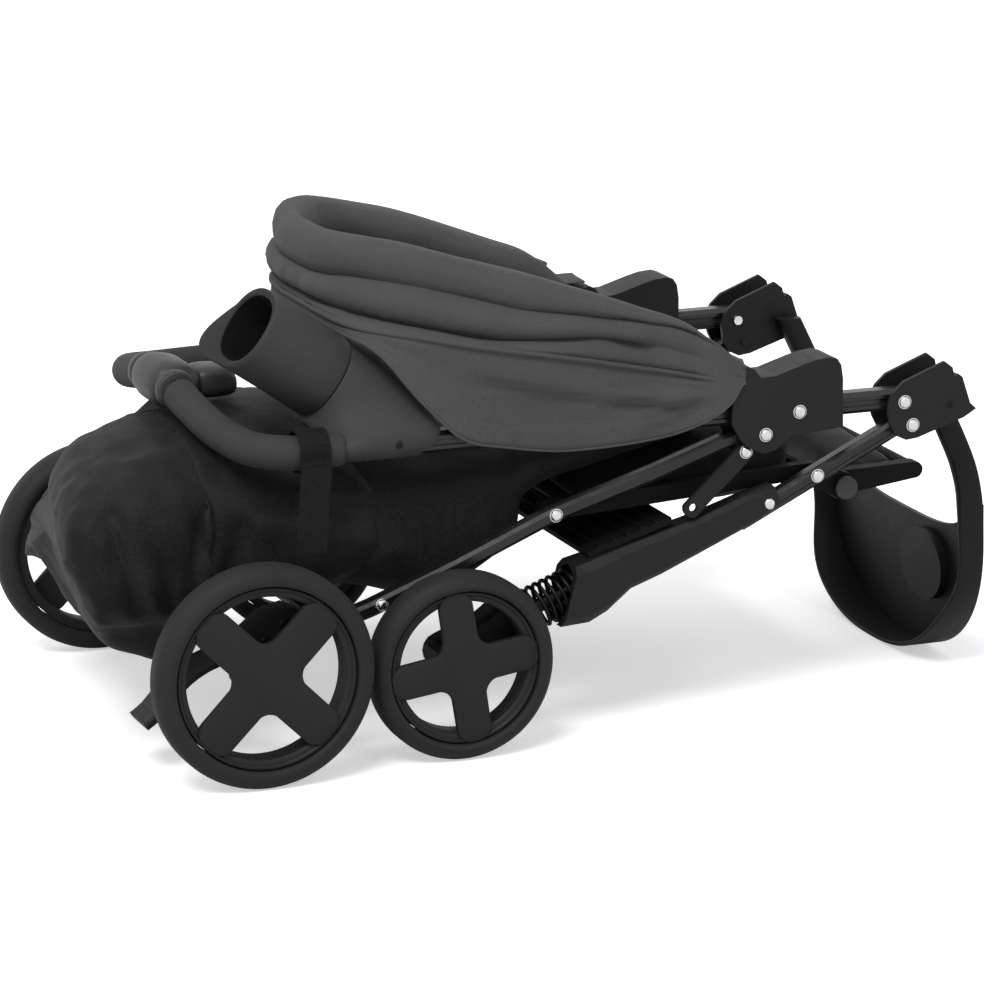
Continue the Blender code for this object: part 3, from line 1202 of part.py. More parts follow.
def build_canopy_skirt():
    """The rear layer: a wall of cloth that runs outside both handle tubes and across the front."""
    down = -direction(CANOPY_REAR_ANGLE - 90.0)
    outward = direction(CANOPY_REAR_ANGLE)
    pivot = point(CANOPY_PIVOT)
    half = []
    straight = 9
    for i in range(straight):
        half.append((SKIRT_START + (SKIRT_STRAIGHT - SKIRT_START) * i / straight, SKIRT_PLANE))
    curve = 10
    for i in range(curve):
        turn = 0.5 * math.pi * i / curve
        half.append((SKIRT_STRAIGHT + (CANOPY_REAR_LENGTH - SKIRT_STRAIGHT) * math.sin(turn),
                     SKIRT_PLANE * math.cos(turn)))
    route = [(reach, -y) for reach, y in half] + [(CANOPY_REAR_LENGTH, 0.0)]
    route += [(reach, y) for reach, y in reversed(half)]
    path = [pivot + outward * reach + Vector((0.0, y, 0.0)) for reach, y in route]
    rings = []
    last = len(path) - 1
    for i, here in enumerate(path):
        reach = route[i][0]
        tangent = (path[min(i + 1, last)] - path[max(i - 1, 0)]).normalized()
        across = tangent.cross(down).normalized() * (0.5 * SKIRT_THICKNESS)
        drop = skirt_drop(reach)
        depth = 0.0006 if reach < SKIRT_STRAIGHT else 0.0020
        wave = depth * math.sin(1.9 * i) * tangent.cross(down).normalized()
        middle = here + down * (0.5 * drop) + wave
        rings.append([here - across, here + across, middle + across, here + across + down * drop,
                      here - across + down * drop, middle - across])
    add_object("canopy_skirt", ring_shape(rings), "handle_frame", GREY_FABRIC)


def build_canopy_bow(name, body, angle, length, roll_width):
    """A flat plastic bow in the inner edge of a canopy layer, pinned inside both armrest brackets."""
    normal = direction(angle + 90.0)
    outward = direction(angle)
    pivot = point(CANOPY_PIVOT)
    line = canopy_path(angle, length, CANOPY_STEPS)
    last = len(line) - 1
    path = []
    for i, spot in enumerate(line):
        tangent = (line[min(i + 1, last)] - line[max(i - 1, 0)]).normalized()
        inward = tangent.cross(normal)
        if inward.dot(pivot - spot) < 0.0:
            inward = -inward
        inset = 0.5 * canopy_roll_width(roll_width, (spot - pivot).dot(outward)) + CANOPY_BOW_INSET
        spot = spot + inward * inset
        spot.y = max(-CANOPY_BOW_REACH, min(CANOPY_BOW_REACH, spot.y))
        path.append(spot)
    strip = [(-0.0055, -0.00125), (0.0055, -0.00125), (0.0055, 0.00125), (-0.0055, 0.00125)]
    bow = add_object(name, ring_shape(sweep_rings(path, lambda t: strip, normal)), body, PLASTIC)
    for side_name, side in SIDES:
        end = path[0] if side < 0.0 else path[-1]
        lean = end - point(CANOPY_PIVOT, end.y)
        outline = arc(CANOPY_PIVOT, 0.0075, angle + 60.0, angle + 300.0, 8)
        tip = point((end.x, end.z)) + direction(angle) * 0.006
        up = normal * 0.0068
        outline += [((tip - up).x, (tip - up).z), ((tip + up).x, (tip + up).z)]
        plate = prism(outline, *span(side, abs(end.y) - 0.0031, abs(end.y) + 0.0037))
        add_boolean(bow, plate, body, "UNION")
        low, high = span(side, abs(end.y) - 0.001, SHELL_INNER + SHELL_WALL)
        add_boolean(bow, disc(CANOPY_PIVOT, low, high, PIN_RADIUS, 12), body, "UNION")


build_canopy_skirt()
build_canopy_bow("canopy_bow_front", "canopy_front", CANOPY_FRONT_ANGLE, CANOPY_FRONT_LENGTH, CANOPY_FRONT_WIDTH)


# Seat fabric, back rest and basket
def soft_block(name, body, material, stations, sides=20, roundness=3.2, side_low=None, skew=0.0, sag=0.0):
    """A closed cloth form lofted along X through (x, low, high, half width) stations.

    At its -X end, skew slants the form across, and sag lowers its top towards the left side.
    """
    rings = []
    for k, (x, low, high, half_width) in enumerate(stations):
        ring = []
        for i in range(sides):
            turn = 2.0 * math.pi * i / sides
            c = math.cos(turn)
            s = math.sin(turn)
            power = 2.0 / roundness
            y = half_width * math.copysign(abs(c) ** power, c)
            share = math.copysign(abs(s) ** power, s)
            floor = low
            if side_low is not None and low < side_low:
                rise = max(0.0, min(1.0, (abs(y) - 0.080) / 0.036))
                floor = low + (side_low - low) * rise * rise * (3.0 - 2.0 * rise)
            z = 0.5 * (floor + high) + 0.5 * (high - floor) * share
            slant = skew * y * max(0.0, min(1.0, (-0.0150 - x) / 0.0700))
            fall = sag * max(0.0, y + 0.0500) * max(0.0, min(1.0, (0.0500 - x) / 0.0800))
            z -= fall * max(0.0, (z - low) / (high - low))
            ring.append(Vector((x + slant, y, z)))
        rings.append(ring)
    add_object(name, ring_shape(rings), body, material)


SEAT_PAD = [(0.3018, 0.1850, 0.1960, 0.140), (0.3150, 0.1840, 0.2050, 0.153), (0.3700, 0.1820, 0.2150, 0.1577),
            (0.4300, 0.1720, 0.2290, 0.1577), (0.4700, 0.1740, 0.2400, 0.1577), (0.4920, 0.1800, 0.2430, 0.153),
            (0.5032, 0.1900, 0.2350, 0.142)]
BACK_REST = [(0.1310, 0.1420, 0.2300, 0.150), (0.1430, 0.1360, 0.2420, 0.162), (0.2000, 0.1460, 0.2440, 0.1655),
             (0.2420, 0.1600, 0.2445, 0.1655), (0.2560, 0.1990, 0.2450, 0.1655), (0.3100, 0.2115, 0.2480, 0.164),
             (0.3700, 0.2240, 0.2560, 0.158), (0.4300, 0.2330, 0.2640, 0.150), (0.4450, 0.2390, 0.2600, 0.142)]
BASKET = [(-0.1080, 0.1900, 0.2360, 0.105), (-0.1020, 0.1650, 0.2500, 0.135), (-0.0900, 0.1180, 0.2620, 0.150),
          (-0.0740, 0.0830, 0.2660, 0.158), (-0.0560, 0.0660, 0.2650, 0.164), (-0.0200, 0.0560, 0.2585, 0.1655),
          (-0.0140, 0.1050, 0.2585, 0.1655), (0.0450, 0.1208, 0.2500, 0.1655), (0.0900, 0.1208, 0.2460, 0.1655),
          (0.1180, 0.1340, 0.2400, 0.163), (0.1307, 0.1420, 0.2300, 0.152)]
BASKET_SKEW = 0.20
BASKET_SAG = 0.22

soft_block("seat_pad", "seat_frame", DARK_FABRIC, SEAT_PAD)
soft_block("back_rest", "rear_frame", DARK_FABRIC, BACK_REST)
soft_block("basket", "rear_frame", DARK_FABRIC, BASKET, 22, 3.2, 0.1000, BASKET_SKEW, BASKET_SAG)

STRAP_X = (HANDLE_END_X - 0.0544, HANDLE_END_X - 0.0284)
STRAP_THICKNESS = 0.0018


def build_strap():
    """The carry strap looped round the right grip, with its tail hanging outside."""
    centre_y = TUBE_PLANE - 0.0007
    centre_z = 0.2611
    inner = GRIP_RADIUS + 0.0022
    outer = inner + STRAP_THICKNESS
    outline = []
    for i in range(13):
        turn = math.radians(-20.0 + 300.0 * i / 12)
        outline.append((centre_y + outer * math.cos(turn), centre_z + outer * math.sin(turn)))
    for i in range(12, -1, -1):
        turn = math.radians(-20.0 + 300.0 * i / 12)
        outline.append((centre_y + inner * math.cos(turn), centre_z + inner * math.sin(turn)))
    outline += [(centre_y + inner + 0.0010, 0.2300), (centre_y + inner - 0.0010, 0.1790),
                (centre_y + outer - 0.0010, 0.1790), (centre_y + outer + 0.0010, 0.2300)]
    shape = bmesh.new()
    low = [shape.verts.new((STRAP_X[0], -y, z)) for y, z in outline]
    high = [shape.verts.new((STRAP_X[1], -y, z)) for y, z in outline]
    shape.faces.new(low)
    shape.faces.new(list(reversed(high)))
    count = len(outline)
    for i in range(count):
        j = (i + 1) % count
        shape.faces.new((low[j], low[i], high[i], high[j]))
    add_object("carry_strap", shape, "handle_frame", DARK_FABRIC)


build_strap()
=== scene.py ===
"""Looks for the folded pushchair: camera, light, materials, wheels, cloth, foam and fittings.

Metres. Side-view places are measured from the rear axle's X and the floor, as in the part's source.
The pushchair's right side is at -Y, nearest the camera.
"""

import math

import bmesh
import bpy
import numpy as np
from mathutils import Matrix, Vector, noise


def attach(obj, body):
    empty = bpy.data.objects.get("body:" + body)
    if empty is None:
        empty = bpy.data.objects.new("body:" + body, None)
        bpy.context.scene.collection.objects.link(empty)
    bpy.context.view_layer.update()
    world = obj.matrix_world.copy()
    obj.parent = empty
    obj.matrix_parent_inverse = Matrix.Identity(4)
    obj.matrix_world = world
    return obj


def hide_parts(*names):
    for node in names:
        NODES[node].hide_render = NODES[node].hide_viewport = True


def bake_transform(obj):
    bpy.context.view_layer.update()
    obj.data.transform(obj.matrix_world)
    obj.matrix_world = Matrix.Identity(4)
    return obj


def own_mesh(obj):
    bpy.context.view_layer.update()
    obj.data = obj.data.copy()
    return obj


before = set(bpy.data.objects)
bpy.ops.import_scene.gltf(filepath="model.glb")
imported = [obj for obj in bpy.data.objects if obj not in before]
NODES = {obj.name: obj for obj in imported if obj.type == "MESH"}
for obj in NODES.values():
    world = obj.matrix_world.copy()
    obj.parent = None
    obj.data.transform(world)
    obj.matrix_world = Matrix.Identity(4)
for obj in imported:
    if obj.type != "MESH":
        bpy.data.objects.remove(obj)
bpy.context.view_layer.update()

REAR_AXLE_X = -0.2710
SIDES = (("right", -1.0), ("left", 1.0))


# Camera, solved from the photograph's four wheels
CAMERA_PLACE = (-1.5890, -4.40509, 1.30157)
CAMERA_AZIMUTH = -19.98
CAMERA_ELEVATION = 13.64
CAMERA_ROLL = -0.89
CAMERA_LENS = 206.478


def make_camera():
    """The photograph's viewpoint."""
    azimuth, elevation, roll = (math.radians(a) for a in (CAMERA_AZIMUTH, CAMERA_ELEVATION, CAMERA_ROLL))
    back = Vector((math.sin(azimuth) * math.cos(elevation), -math.cos(azimuth) * math.cos(elevation),
                   math.sin(elevation)))
    right = Vector((math.cos(azimuth), math.sin(azimuth), 0.0))
    up = back.cross(right)
    side = right * math.cos(roll) + up * math.sin(roll)
    top = up * math.cos(roll) - right * math.sin(roll)
    data = bpy.data.cameras.new("camera")
    data.lens = CAMERA_LENS
    data.sensor_width = 36.0
    data.clip_end = 100.0
    camera = bpy.data.objects.new("camera", data)
    bpy.context.scene.collection.objects.link(camera)
    camera.matrix_world = Matrix.Translation(CAMERA_PLACE) @ Matrix((side, top, back)).transposed().to_4x4()
    bpy.context.scene.camera = camera


# Materials
def feed(tree, node, inputs):
    """Sets a node's inputs, or links them where the value is another node's output."""
    for name, value in inputs.items():
        if isinstance(value, bpy.types.NodeSocket):
            tree.links.new(value, node.inputs[name])
        else:
            node.inputs[name].default_value = value


def add_node(tree, kind, inputs):
    """A new shader node with its inputs fed."""
    node = tree.nodes.new("ShaderNode" + kind)
    feed(tree, node, inputs)
    return node


def new_material(name, colour, roughness, metallic, specular):
    """A Principled material, its node tree and its shader."""
    material = bpy.data.materials.new(name)
    material.use_nodes = True
    tree = material.node_tree
    shader = tree.nodes["Principled BSDF"]
    feed(tree, shader, {"Base Color": (*colour, 1.0), "Roughness": roughness, "Metallic": metallic,
                        "Specular IOR Level": specular})
    return material, tree, shader


def object_coordinates(tree, stretch=(1.0, 1.0, 1.0)):
    """The piece's own coordinates, in metres, stretched per axis."""
    place = tree.nodes.new("ShaderNodeTexCoord").outputs["Object"]
    return add_node(tree, "Mapping", {"Vector": place, "Scale": stretch}).outputs["Vector"]


def noise_output(tree, vector, scale, detail, roughness=0.55):
    """A noise texture's value."""
    inputs = {"Vector": vector, "Scale": scale, "Detail": detail, "Roughness": roughness}
    return add_node(tree, "TexNoise", inputs).outputs["Fac"]


def mapped(tree, value, low, high, start=0.3, end=0.7):
    """A value moved from start..end to low..high."""
    inputs = {"Value": value, "From Min": start, "From Max": end, "To Min": low, "To Max": high}
    return add_node(tree, "MapRange", inputs).outputs["Result"]


def combined(tree, first, second, operation):
    """Two values through a math node."""
    node = add_node(tree, "Math", {0: first, 1: second})
    node.operation = operation
    return node.outputs[0]


def tinted(tree, value, shader, dark, light):
    """Base colour between two tones."""
    ramp = add_node(tree, "ValToRGB", {"Fac": value})
    for stop, tone, position in zip(ramp.color_ramp.elements, (dark, light), (0.30, 0.72)):
        stop.color = (*tone, 1.0)
        stop.position = position
    feed(tree, shader, {"Base Color": ramp.outputs["Color"]})


def shades(colour, low, high):
    """A darker and a lighter tone of a colour."""
    return [c * low for c in colour], [min(1.0, c * high) for c in colour]


def add_bump(tree, shader, value, strength, distance, below=None):
    """Bump from a value, on top of another bump."""
    inputs = {"Height": value, "Strength": strength, "Distance": distance}
    if below is not None:
        inputs["Normal"] = below
    normal = add_node(tree, "Bump", inputs).outputs["Normal"]
    feed(tree, shader, {"Normal": normal})
    return normal


def plastic(name, colour, roughness, grain, specular):
    """Moulded plastic: a fine spark-eroded grain, patchy gloss and faint scuffs."""
    material, tree, shader = new_material(name, colour, roughness, 0.0, specular)
    vector = object_coordinates(tree)
    patches = noise_output(tree, vector, 14.0, 4.0)
    tinted(tree, patches, shader, *shades(colour, 0.86, 1.16))
    scuffs = noise_output(tree, object_coordinates(tree, (1.0, 1.0, 6.0)), 90.0, 5.0, 0.7)
    wear = combined(tree, patches, scuffs, "MULTIPLY")
    feed(tree, shader, {"Roughness": mapped(tree, wear, roughness - 0.07, roughness + 0.10, 0.12, 0.42)})
    add_bump(tree, shader, noise_output(tree, vector, 1500.0, 2.0), grain, 0.00012)
    return material


def foam(name, colour, roughness):
    """Moulded foam: soft mottling and open pores."""
    material, tree, shader = new_material(name, colour, roughness, 0.0, 0.25)
    vector = object_coordinates(tree)
    cells = add_node(tree, "TexVoronoi", {"Vector": vector, "Scale": 900.0})
    mottle = noise_output(tree, vector, 30.0, 5.0)
    tinted(tree, mottle, shader, *shades(colour, 0.84, 1.18))
    feed(tree, shader, {"Roughness": mapped(tree, mottle, roughness - 0.06, roughness + 0.06)})
    add_bump(tree, shader, cells.outputs["Distance"], 0.35, 0.0002)
    return material


def yarn(tree, vector, axis, pitch):
    """Fine bands across one axis."""
    inputs = {"Vector": vector, "Scale": 1.0 / pitch / 3.2, "Distortion": 0.6, "Detail": 1.0}
    wave = add_node(tree, "TexWave", inputs)
    wave.wave_type = "BANDS"
    wave.bands_direction = axis
    wave.wave_profile = "SIN"
    return wave.outputs["Fac"]


def woven(name, dark, light, roughness, pitch, sheen, wrinkle):
    """Woven cloth: crossed yarns, slight slubs, soft creases, and a little sheen."""
    material, tree, shader = new_material(name, light, roughness, 0.0, 0.12)
    vector = object_coordinates(tree)
    along_x, along_y, along_z = (yarn(tree, vector, axis, pitch) for axis in "XYZ")
    weave = combined(tree, combined(tree, along_x, along_y, "ADD"), along_z, "ADD")
    slubs = noise_output(tree, vector, 0.3 / pitch, 3.0)
    tone = noise_output(tree, vector, 9.0, 4.0)
    fine = mapped(tree, weave, 0.40, 0.60, 1.2, 1.8)
    mixed = combined(tree, combined(tree, slubs, tone, "ADD"), fine, "ADD")
    tinted(tree, mapped(tree, mixed, 0.0, 1.0, 1.15, 1.85), shader, dark, light)
    feed(tree, shader, {"Roughness": mapped(tree, slubs, roughness - 0.05, roughness + 0.05),
                        "Sheen Weight": sheen, "Sheen Roughness": 0.45})
    creases = noise_output(tree, object_coordinates(tree, (1.0, 1.0, 1.6)), 24.0, 3.0)
    base = add_bump(tree, shader, creases, wrinkle, 0.0035)
    add_bump(tree, shader, weave, 0.15, 0.00025, base)
    return material


def metal(name, colour, roughness, stretch=(1.0, 1.0, 1.0), metallic=1.0):
    """Drawn or turned metal with fine lines and faint patches."""
    material, tree, shader = new_material(name, colour, roughness, metallic, 0.5)
    lines = noise_output(tree, object_coordinates(tree, stretch), 260.0, 4.0, 0.6)
    patches = noise_output(tree, object_coordinates(tree), 20.0, 3.0)
    feed(tree, shader, {"Roughness": mapped(tree, lines, roughness - 0.06, roughness + 0.10)})
    tinted(tree, patches, shader, *shades(colour, 0.88, 1.10))
    add_bump(tree, shader, lines, 0.12, 0.00008)
    return material


# Plastics: colour, roughness, grain, specular
BLACK_PLASTIC = plastic("black_plastic_look", (0.0115, 0.0115, 0.0120), 0.50, 0.25, 0.22)
# Near-black plastic: the frame parts' own dark colour, and on the footrest painted shade for the shadow it
# sits in
DARK_PLASTIC_AND_PAINTED_SHADE = plastic("dark_plastic_and_painted_shade_look", (0.0045, 0.0045, 0.0048), 0.60, 0.20, 0.12)
WHEEL_PLASTIC = plastic("wheel_plastic_look", (0.0155, 0.0155, 0.0160), 0.58, 0.20, 0.22)
GREY_PLASTIC = plastic("grey_plastic_look", (0.040, 0.040, 0.0405), 0.45, 0.25, 0.30)
CUP_PLASTIC = plastic("cup_plastic_look", (0.046, 0.046, 0.0465), 0.62, 0.30, 0.20)
RIM_PLASTIC = plastic("rim_plastic_look", (0.0170, 0.0170, 0.0174), 0.66, 0.30, 0.15)
# The cup's well: the cup's plastic painted near-black as the shade inside the deep recess
WELL_PAINTED_SHADE = plastic("well_painted_shade_look", (0.0080, 0.0080, 0.0082), 0.70, 0.30, 0.10)
TRAY_PLASTIC = plastic("tray_plastic_look", (0.0095, 0.0095, 0.0100), 0.45, 0.18, 0.16)
TYRE_FOAM = foam("tyre_foam_look", (0.0165, 0.0165, 0.0168), 0.66)
GRIP_FOAM = foam("grip_foam_look", (0.040, 0.040, 0.0405), 0.78)
# The tubes are painted metal, brushed along X
TUBE_METAL = metal("black_tube_look", (0.0085, 0.0085, 0.0090), 0.26, (0.04, 1.0, 1.0), 0.10)
STEEL_METAL = metal("bright_steel_look", (0.72, 0.72, 0.73), 0.20)
SPRING_METAL = metal("spring_steel_look", (0.022, 0.022, 0.023), 0.38)
# Cloths: dark and light yarn, roughness, yarn pitch, sheen, wrinkles
CANOPY_CLOTH = woven("canopy_cloth_look", (0.073, 0.073, 0.0740), (0.088, 0.088, 0.0893), 0.86, 0.0006,
                     0.08, 0.40)
BLACK_CLOTH = woven("black_cloth_look", (0.0095, 0.0095, 0.0100), (0.0185, 0.0185, 0.0192), 0.62, 0.0007,
                    0.03, 0.5)
WEBBING = woven("webbing_look", (0.0065, 0.0065, 0.0070), (0.0130, 0.0130, 0.0135), 0.70, 0.0016, 0.02, 0.1)

# Finishes of the CAD pieces that keep showing
FINISHES = [
    (TUBE_METAL, ("front_leg_right", "front_leg_left", "handle_tube_", "handle_bow", "rear_leg_right",
                  "rear_leg_left", "rear_cross_tube")),
    # Near-black plastic; on the footrest it is painted shade
    (DARK_PLASTIC_AND_PAINTED_SHADE, ("seat_frame", "front_footrest", "calf_frame", "canopy_bow_front")),
    (STEEL_METAL, ("fold_pin_", "rear_leg_pin_", "rear_axle")),
    (BLACK_PLASTIC, ("hub_", "arm_bracket_", "front_leg_housing_", "front_wheel_arm_",
                     "rear_axle_bracket_", "brake_pedal", "recline_arm_")),
    (SPRING_METAL, ("front_stem_",)),
    (GREY_PLASTIC, ("calf_button_",)),
]
# Edge rounding of the moulded pieces, and the angle from which an edge counts as sharp
EDGE_WIDTHS = {"hub_": 0.0012, "arm_bracket_": 0.0022, "front_leg_housing_": 0.0020,
               "front_wheel_arm_": 0.0012, "rear_axle_bracket_": 0.0015, "front_footrest": 0.0006,
               "brake_pedal": 0.0030, "recline_arm_": 0.0006}
EDGE_ANGLE = 38.0


def finish_for(name):
    """The look of a CAD node; the longest matching start counts."""
    best = (0, BLACK_PLASTIC)
    for material, starts in FINISHES:
        for start in starts:
            if name.startswith(start) and len(start) > best[0]:
                best = (len(start), material)
    return best[1]


def dress_cad_nodes():
    """Gives each CAD node its look, and rounds the moulded pieces' sharp edges."""
    for name, node in NODES.items():
        for slot in node.material_slots:
            slot.material = finish_for(name)
        for start, width in EDGE_WIDTHS.items():
            if name.startswith(start):
                bevel = node.modifiers.new("edges", "BEVEL")
                bevel.width = width
                bevel.segments = 3
                bevel.limit_method = "ANGLE"
                bevel.angle_limit = math.radians(EDGE_ANGLE)
                bevel.harden_normals = True


# Mesh helpers
def at(x, y, z):
    """A point measured from the rear axle's X."""
    return Vector((x + REAR_AXLE_X, y, z))


def add_piece(name, verts, faces, material, body=None, smooth=35.0):
    """A mesh object, riding on a body."""
    mesh = bpy.data.meshes.new(name)
    mesh.from_pydata([tuple(v) for v in verts], [], faces)
    mesh.validate()
    cleaner = bmesh.new()
    cleaner.from_mesh(mesh)
    bmesh.ops.recalc_face_normals(cleaner, faces=cleaner.faces)
    cleaner.to_mesh(mesh)
    cleaner.free()
    mesh.materials.append(material)
    mesh.shade_smooth()
    if smooth is not None:
        mesh.set_sharp_from_angle(angle=math.radians(smooth))
    piece = bpy.data.objects.new(name, mesh)
    bpy.context.scene.collection.objects.link(piece)
    if body is not None:
        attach(piece, body)
    return piece


def skin(rings, closed_ring=True, closed_path=False):
    """Vertices and faces over equal rings of points; an open path of closed rings gets end caps."""
    size = len(rings[0])
    verts = [point for ring in rings for point in ring]
    faces = []
    count = len(rings)
    for k in range(count if closed_path else count - 1):
        following = (k + 1) % count
        for i in range(size if closed_ring else size - 1):
            j = (i + 1) % size
            faces.append((k * size + i, k * size + j, following * size + j, following * size + i))
    if closed_ring and not closed_path:
        faces.append(tuple(reversed(range(size))))
        faces.append(tuple(range((count - 1) * size, count * size)))
    return verts, faces


def merged(parts):
    """Several (vertices, faces) as one."""
    verts = []
    faces = []
    for part_verts, part_faces in parts:
        start = len(verts)
        verts += list(part_verts)
        faces += [tuple(i + start for i in face) for face in part_faces]
    return verts, faces


def spline(points, steps):
    """Catmull-Rom points through a route of vectors."""
    route = [Vector(p) for p in points]
    last = len(route) - 1
    result = []
    for i in range(last):
        before = route[max(i - 1, 0)]
        here = route[i]
        there = route[i + 1]
        after = route[min(i + 2, last)]
        for j in range(steps):
            t = j / steps
            result.append(0.5 * (2.0 * here + (there - before) * t
                                 + (2.0 * before - 5.0 * here + 4.0 * there - after) * t * t
                                 + (3.0 * here - before - 3.0 * there + after) * t * t * t))
    result.append(route[last])
    return result


def sweep(path, section_at, reference=Vector((0.0, 0.0, 1.0))):
    """Rings of (side, normal) offsets along a path."""
    rings = []
    last = len(path) - 1
    for i, here in enumerate(path):
        tangent = (path[min(i + 1, last)] - path[max(i - 1, 0)]).normalized()
        across = (reference - tangent * reference.dot(tangent)).normalized()
        normal = tangent.cross(across)
        rings.append([here + a * across + b * normal for a, b in section_at(i / last)])
    return rings


def clamped(value):
    """A value kept between 0 and 1."""
    return max(0.0, min(1.0, value))


def eased(value):
    """A smooth step from 0 to 1."""
    share = clamped(value)
    return share * share * (3.0 - 2.0 * share)


def signed_power(value, power):
    """A power of a value's size, with the value's sign."""
    return math.copysign(abs(value) ** power, value)


def circle(count):
    """Cosine and sine of even steps round a circle."""
    turns = [2.0 * math.pi * i / count for i in range(count)]
    return [(math.cos(turn), math.sin(turn)) for turn in turns]


def round_section(radius, sides, other=None):
    """A circle or ellipse of offsets."""
    other = radius if other is None else other
    return [(radius * c, other * s) for c, s in circle(sides)]


def squircle(half_a, half_b, power, sides):
    """A superellipse of offsets."""
    share = 2.0 / power
    return [(half_a * signed_power(c, share), half_b * signed_power(s, share)) for c, s in circle(sides)]


def side_direction(angle):
    """A direction in the side view, in degrees up from +X."""
    return Vector((math.cos(math.radians(angle)), 0.0, math.sin(math.radians(angle))))


def lathe(x, z, y, side, profile, segments):
    """A closed (out, radius) profile turned about the Y axis; out is measured away from the middle."""
    rings = [[at(x + radius * c, side * (y + out), z + radius * s) for out, radius in profile]
             for c, s in circle(segments)]
    return skin(rings, True, True)


def dome(centre, axis, radius, height, rings=5):
    """A low domed head on a flat base."""
    across = axis.orthogonal().normalized()
    other = axis.cross(across)
    loops = []
    for k in range(rings):
        rise = math.radians(88.0 * k / (rings - 1))
        reach = radius * math.cos(rise)
        lift = height * math.sin(rise)
        loops.append([centre + axis * lift + reach * (c * across + s * other) for c, s in circle(20)])
    return skin(loops)


def interpolate(table, value):
    """A smooth value from a table of (place, value) rows."""
    if value <= table[0][0]:
        return table[0][1]
    slopes = [(high - low) / (b - a) for (a, low), (b, high) in zip(table, table[1:])]
    for k, ((a, low), (b, high)) in enumerate(zip(table, table[1:])):
        if value <= b:
            before = slopes[max(k - 1, 0)]
            after = slopes[min(k + 1, len(slopes) - 1)]
            first = 0.5 * (before + slopes[k]) if before * slopes[k] > 0.0 else 0.0
            second = 0.5 * (after + slopes[k]) if after * slopes[k] > 0.0 else 0.0
            width = b - a
            t = (value - a) / width
            return (low * (2 * t ** 3 - 3 * t ** 2 + 1) + first * width * (t ** 3 - 2 * t ** 2 + t)
                    + high * (3 * t ** 2 - 2 * t ** 3) + second * width * (t ** 3 - t ** 2))
    return table[-1][1]


# Wheels: foam tyre and a rim whose four wide lobes lie over its ring
WHEELS = {
    "rear": {"x": 0.0, "z": 0.0925, "plane": 0.235, "tread": 0.0165, "turn": 45.0, "lobe": 0.0172,
             "reach": 0.0730},
    "front": {"x": 0.1746, "z": 0.0785, "plane": 0.217, "tread": 0.0146, "turn": 8.0, "lobe": 0.0146,
              "reach": 0.0630},
}
TYRE_HALF = 0.017
RIM_FACE = 0.0110
RIM_WALL = 0.0085
HUB_BORE = 0.0056
HUB_RADIUS = 0.0130
LOBE_CORNER = 0.0100
LOBE_FILLET = 0.0125
LOBE_BULGE = 0.0025
LOBE_THICKNESS = 0.0050
# The lobes' rounded edge: inset from the outline, distance out from the rim's face
LOBE_EDGE = [(0.0012, 0.0015 - LOBE_THICKNESS), (0.0, 0.0030 - LOBE_THICKNESS), (0.0, 0.0020),
             (0.0003, 0.0027), (0.0010, 0.0031)]


def lobe_outline(reach, turn, half):
    """Four lobes with rounded tips, meeting in rounded corners."""
    lobe = []
    for sign in (-1.0, 1.0):
        for i in range(7):
            angle = math.radians(90.0 * i / 6)
            corner_turn = angle if sign < 0.0 else math.radians(90.0) - angle
            x = reach - LOBE_CORNER + LOBE_CORNER * math.sin(corner_turn)
            y = sign * (half - LOBE_CORNER + LOBE_CORNER * math.cos(corner_turn))
            lobe.append((x - 0.0015 + LOBE_BULGE * (1.0 - (y / half) ** 2), y))
    corner = half + LOBE_FILLET
    for i in range(1, 8):
        angle = math.radians(-90.0 - 90.0 * i / 8)
        lobe.append((corner + LOBE_FILLET * math.cos(angle), corner + LOBE_FILLET * math.sin(angle)))
    outline = []
    for quarter in range(4):
        base = math.radians(turn + 90.0 * quarter)
        c = math.cos(base)
        s = math.sin(base)
        outline += [(x * c - y * s, x * s + y * c) for x, y in lobe]
    return outline


def build_tyre(kind, side_name, side, bead):
    """One wheel's foam tyre."""
    x, radius, plane = (WHEELS[kind][key] for key in ("x", "z", "plane"))
    half = TYRE_HALF
    profile = [(-half + 0.002, bead + 0.0005), (-half, bead + 0.003), (-half, radius - 0.0105),
               (-half + 0.0015, radius - 0.0060), (-half + 0.0050, radius - 0.0022), (-half + 0.0100, radius),
               (half - 0.0100, radius), (half - 0.0050, radius - 0.0022), (half - 0.0015, radius - 0.0060),
               (half, radius - 0.0105), (half + 0.0002, bead + 0.0045), (half - 0.0003, bead + 0.0022),
               (half - 0.0012, bead + 0.0010), (half - 0.0030, bead + 0.0005)]
    tyre = add_piece("%s_tyre_look_%s" % (kind, side_name), *lathe(x, radius, plane, side, profile, 96),
                     TYRE_FOAM, "%s_wheel_%s" % (kind, side_name), 50.0)
    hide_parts("%s_tyre_%s" % (kind, side_name))


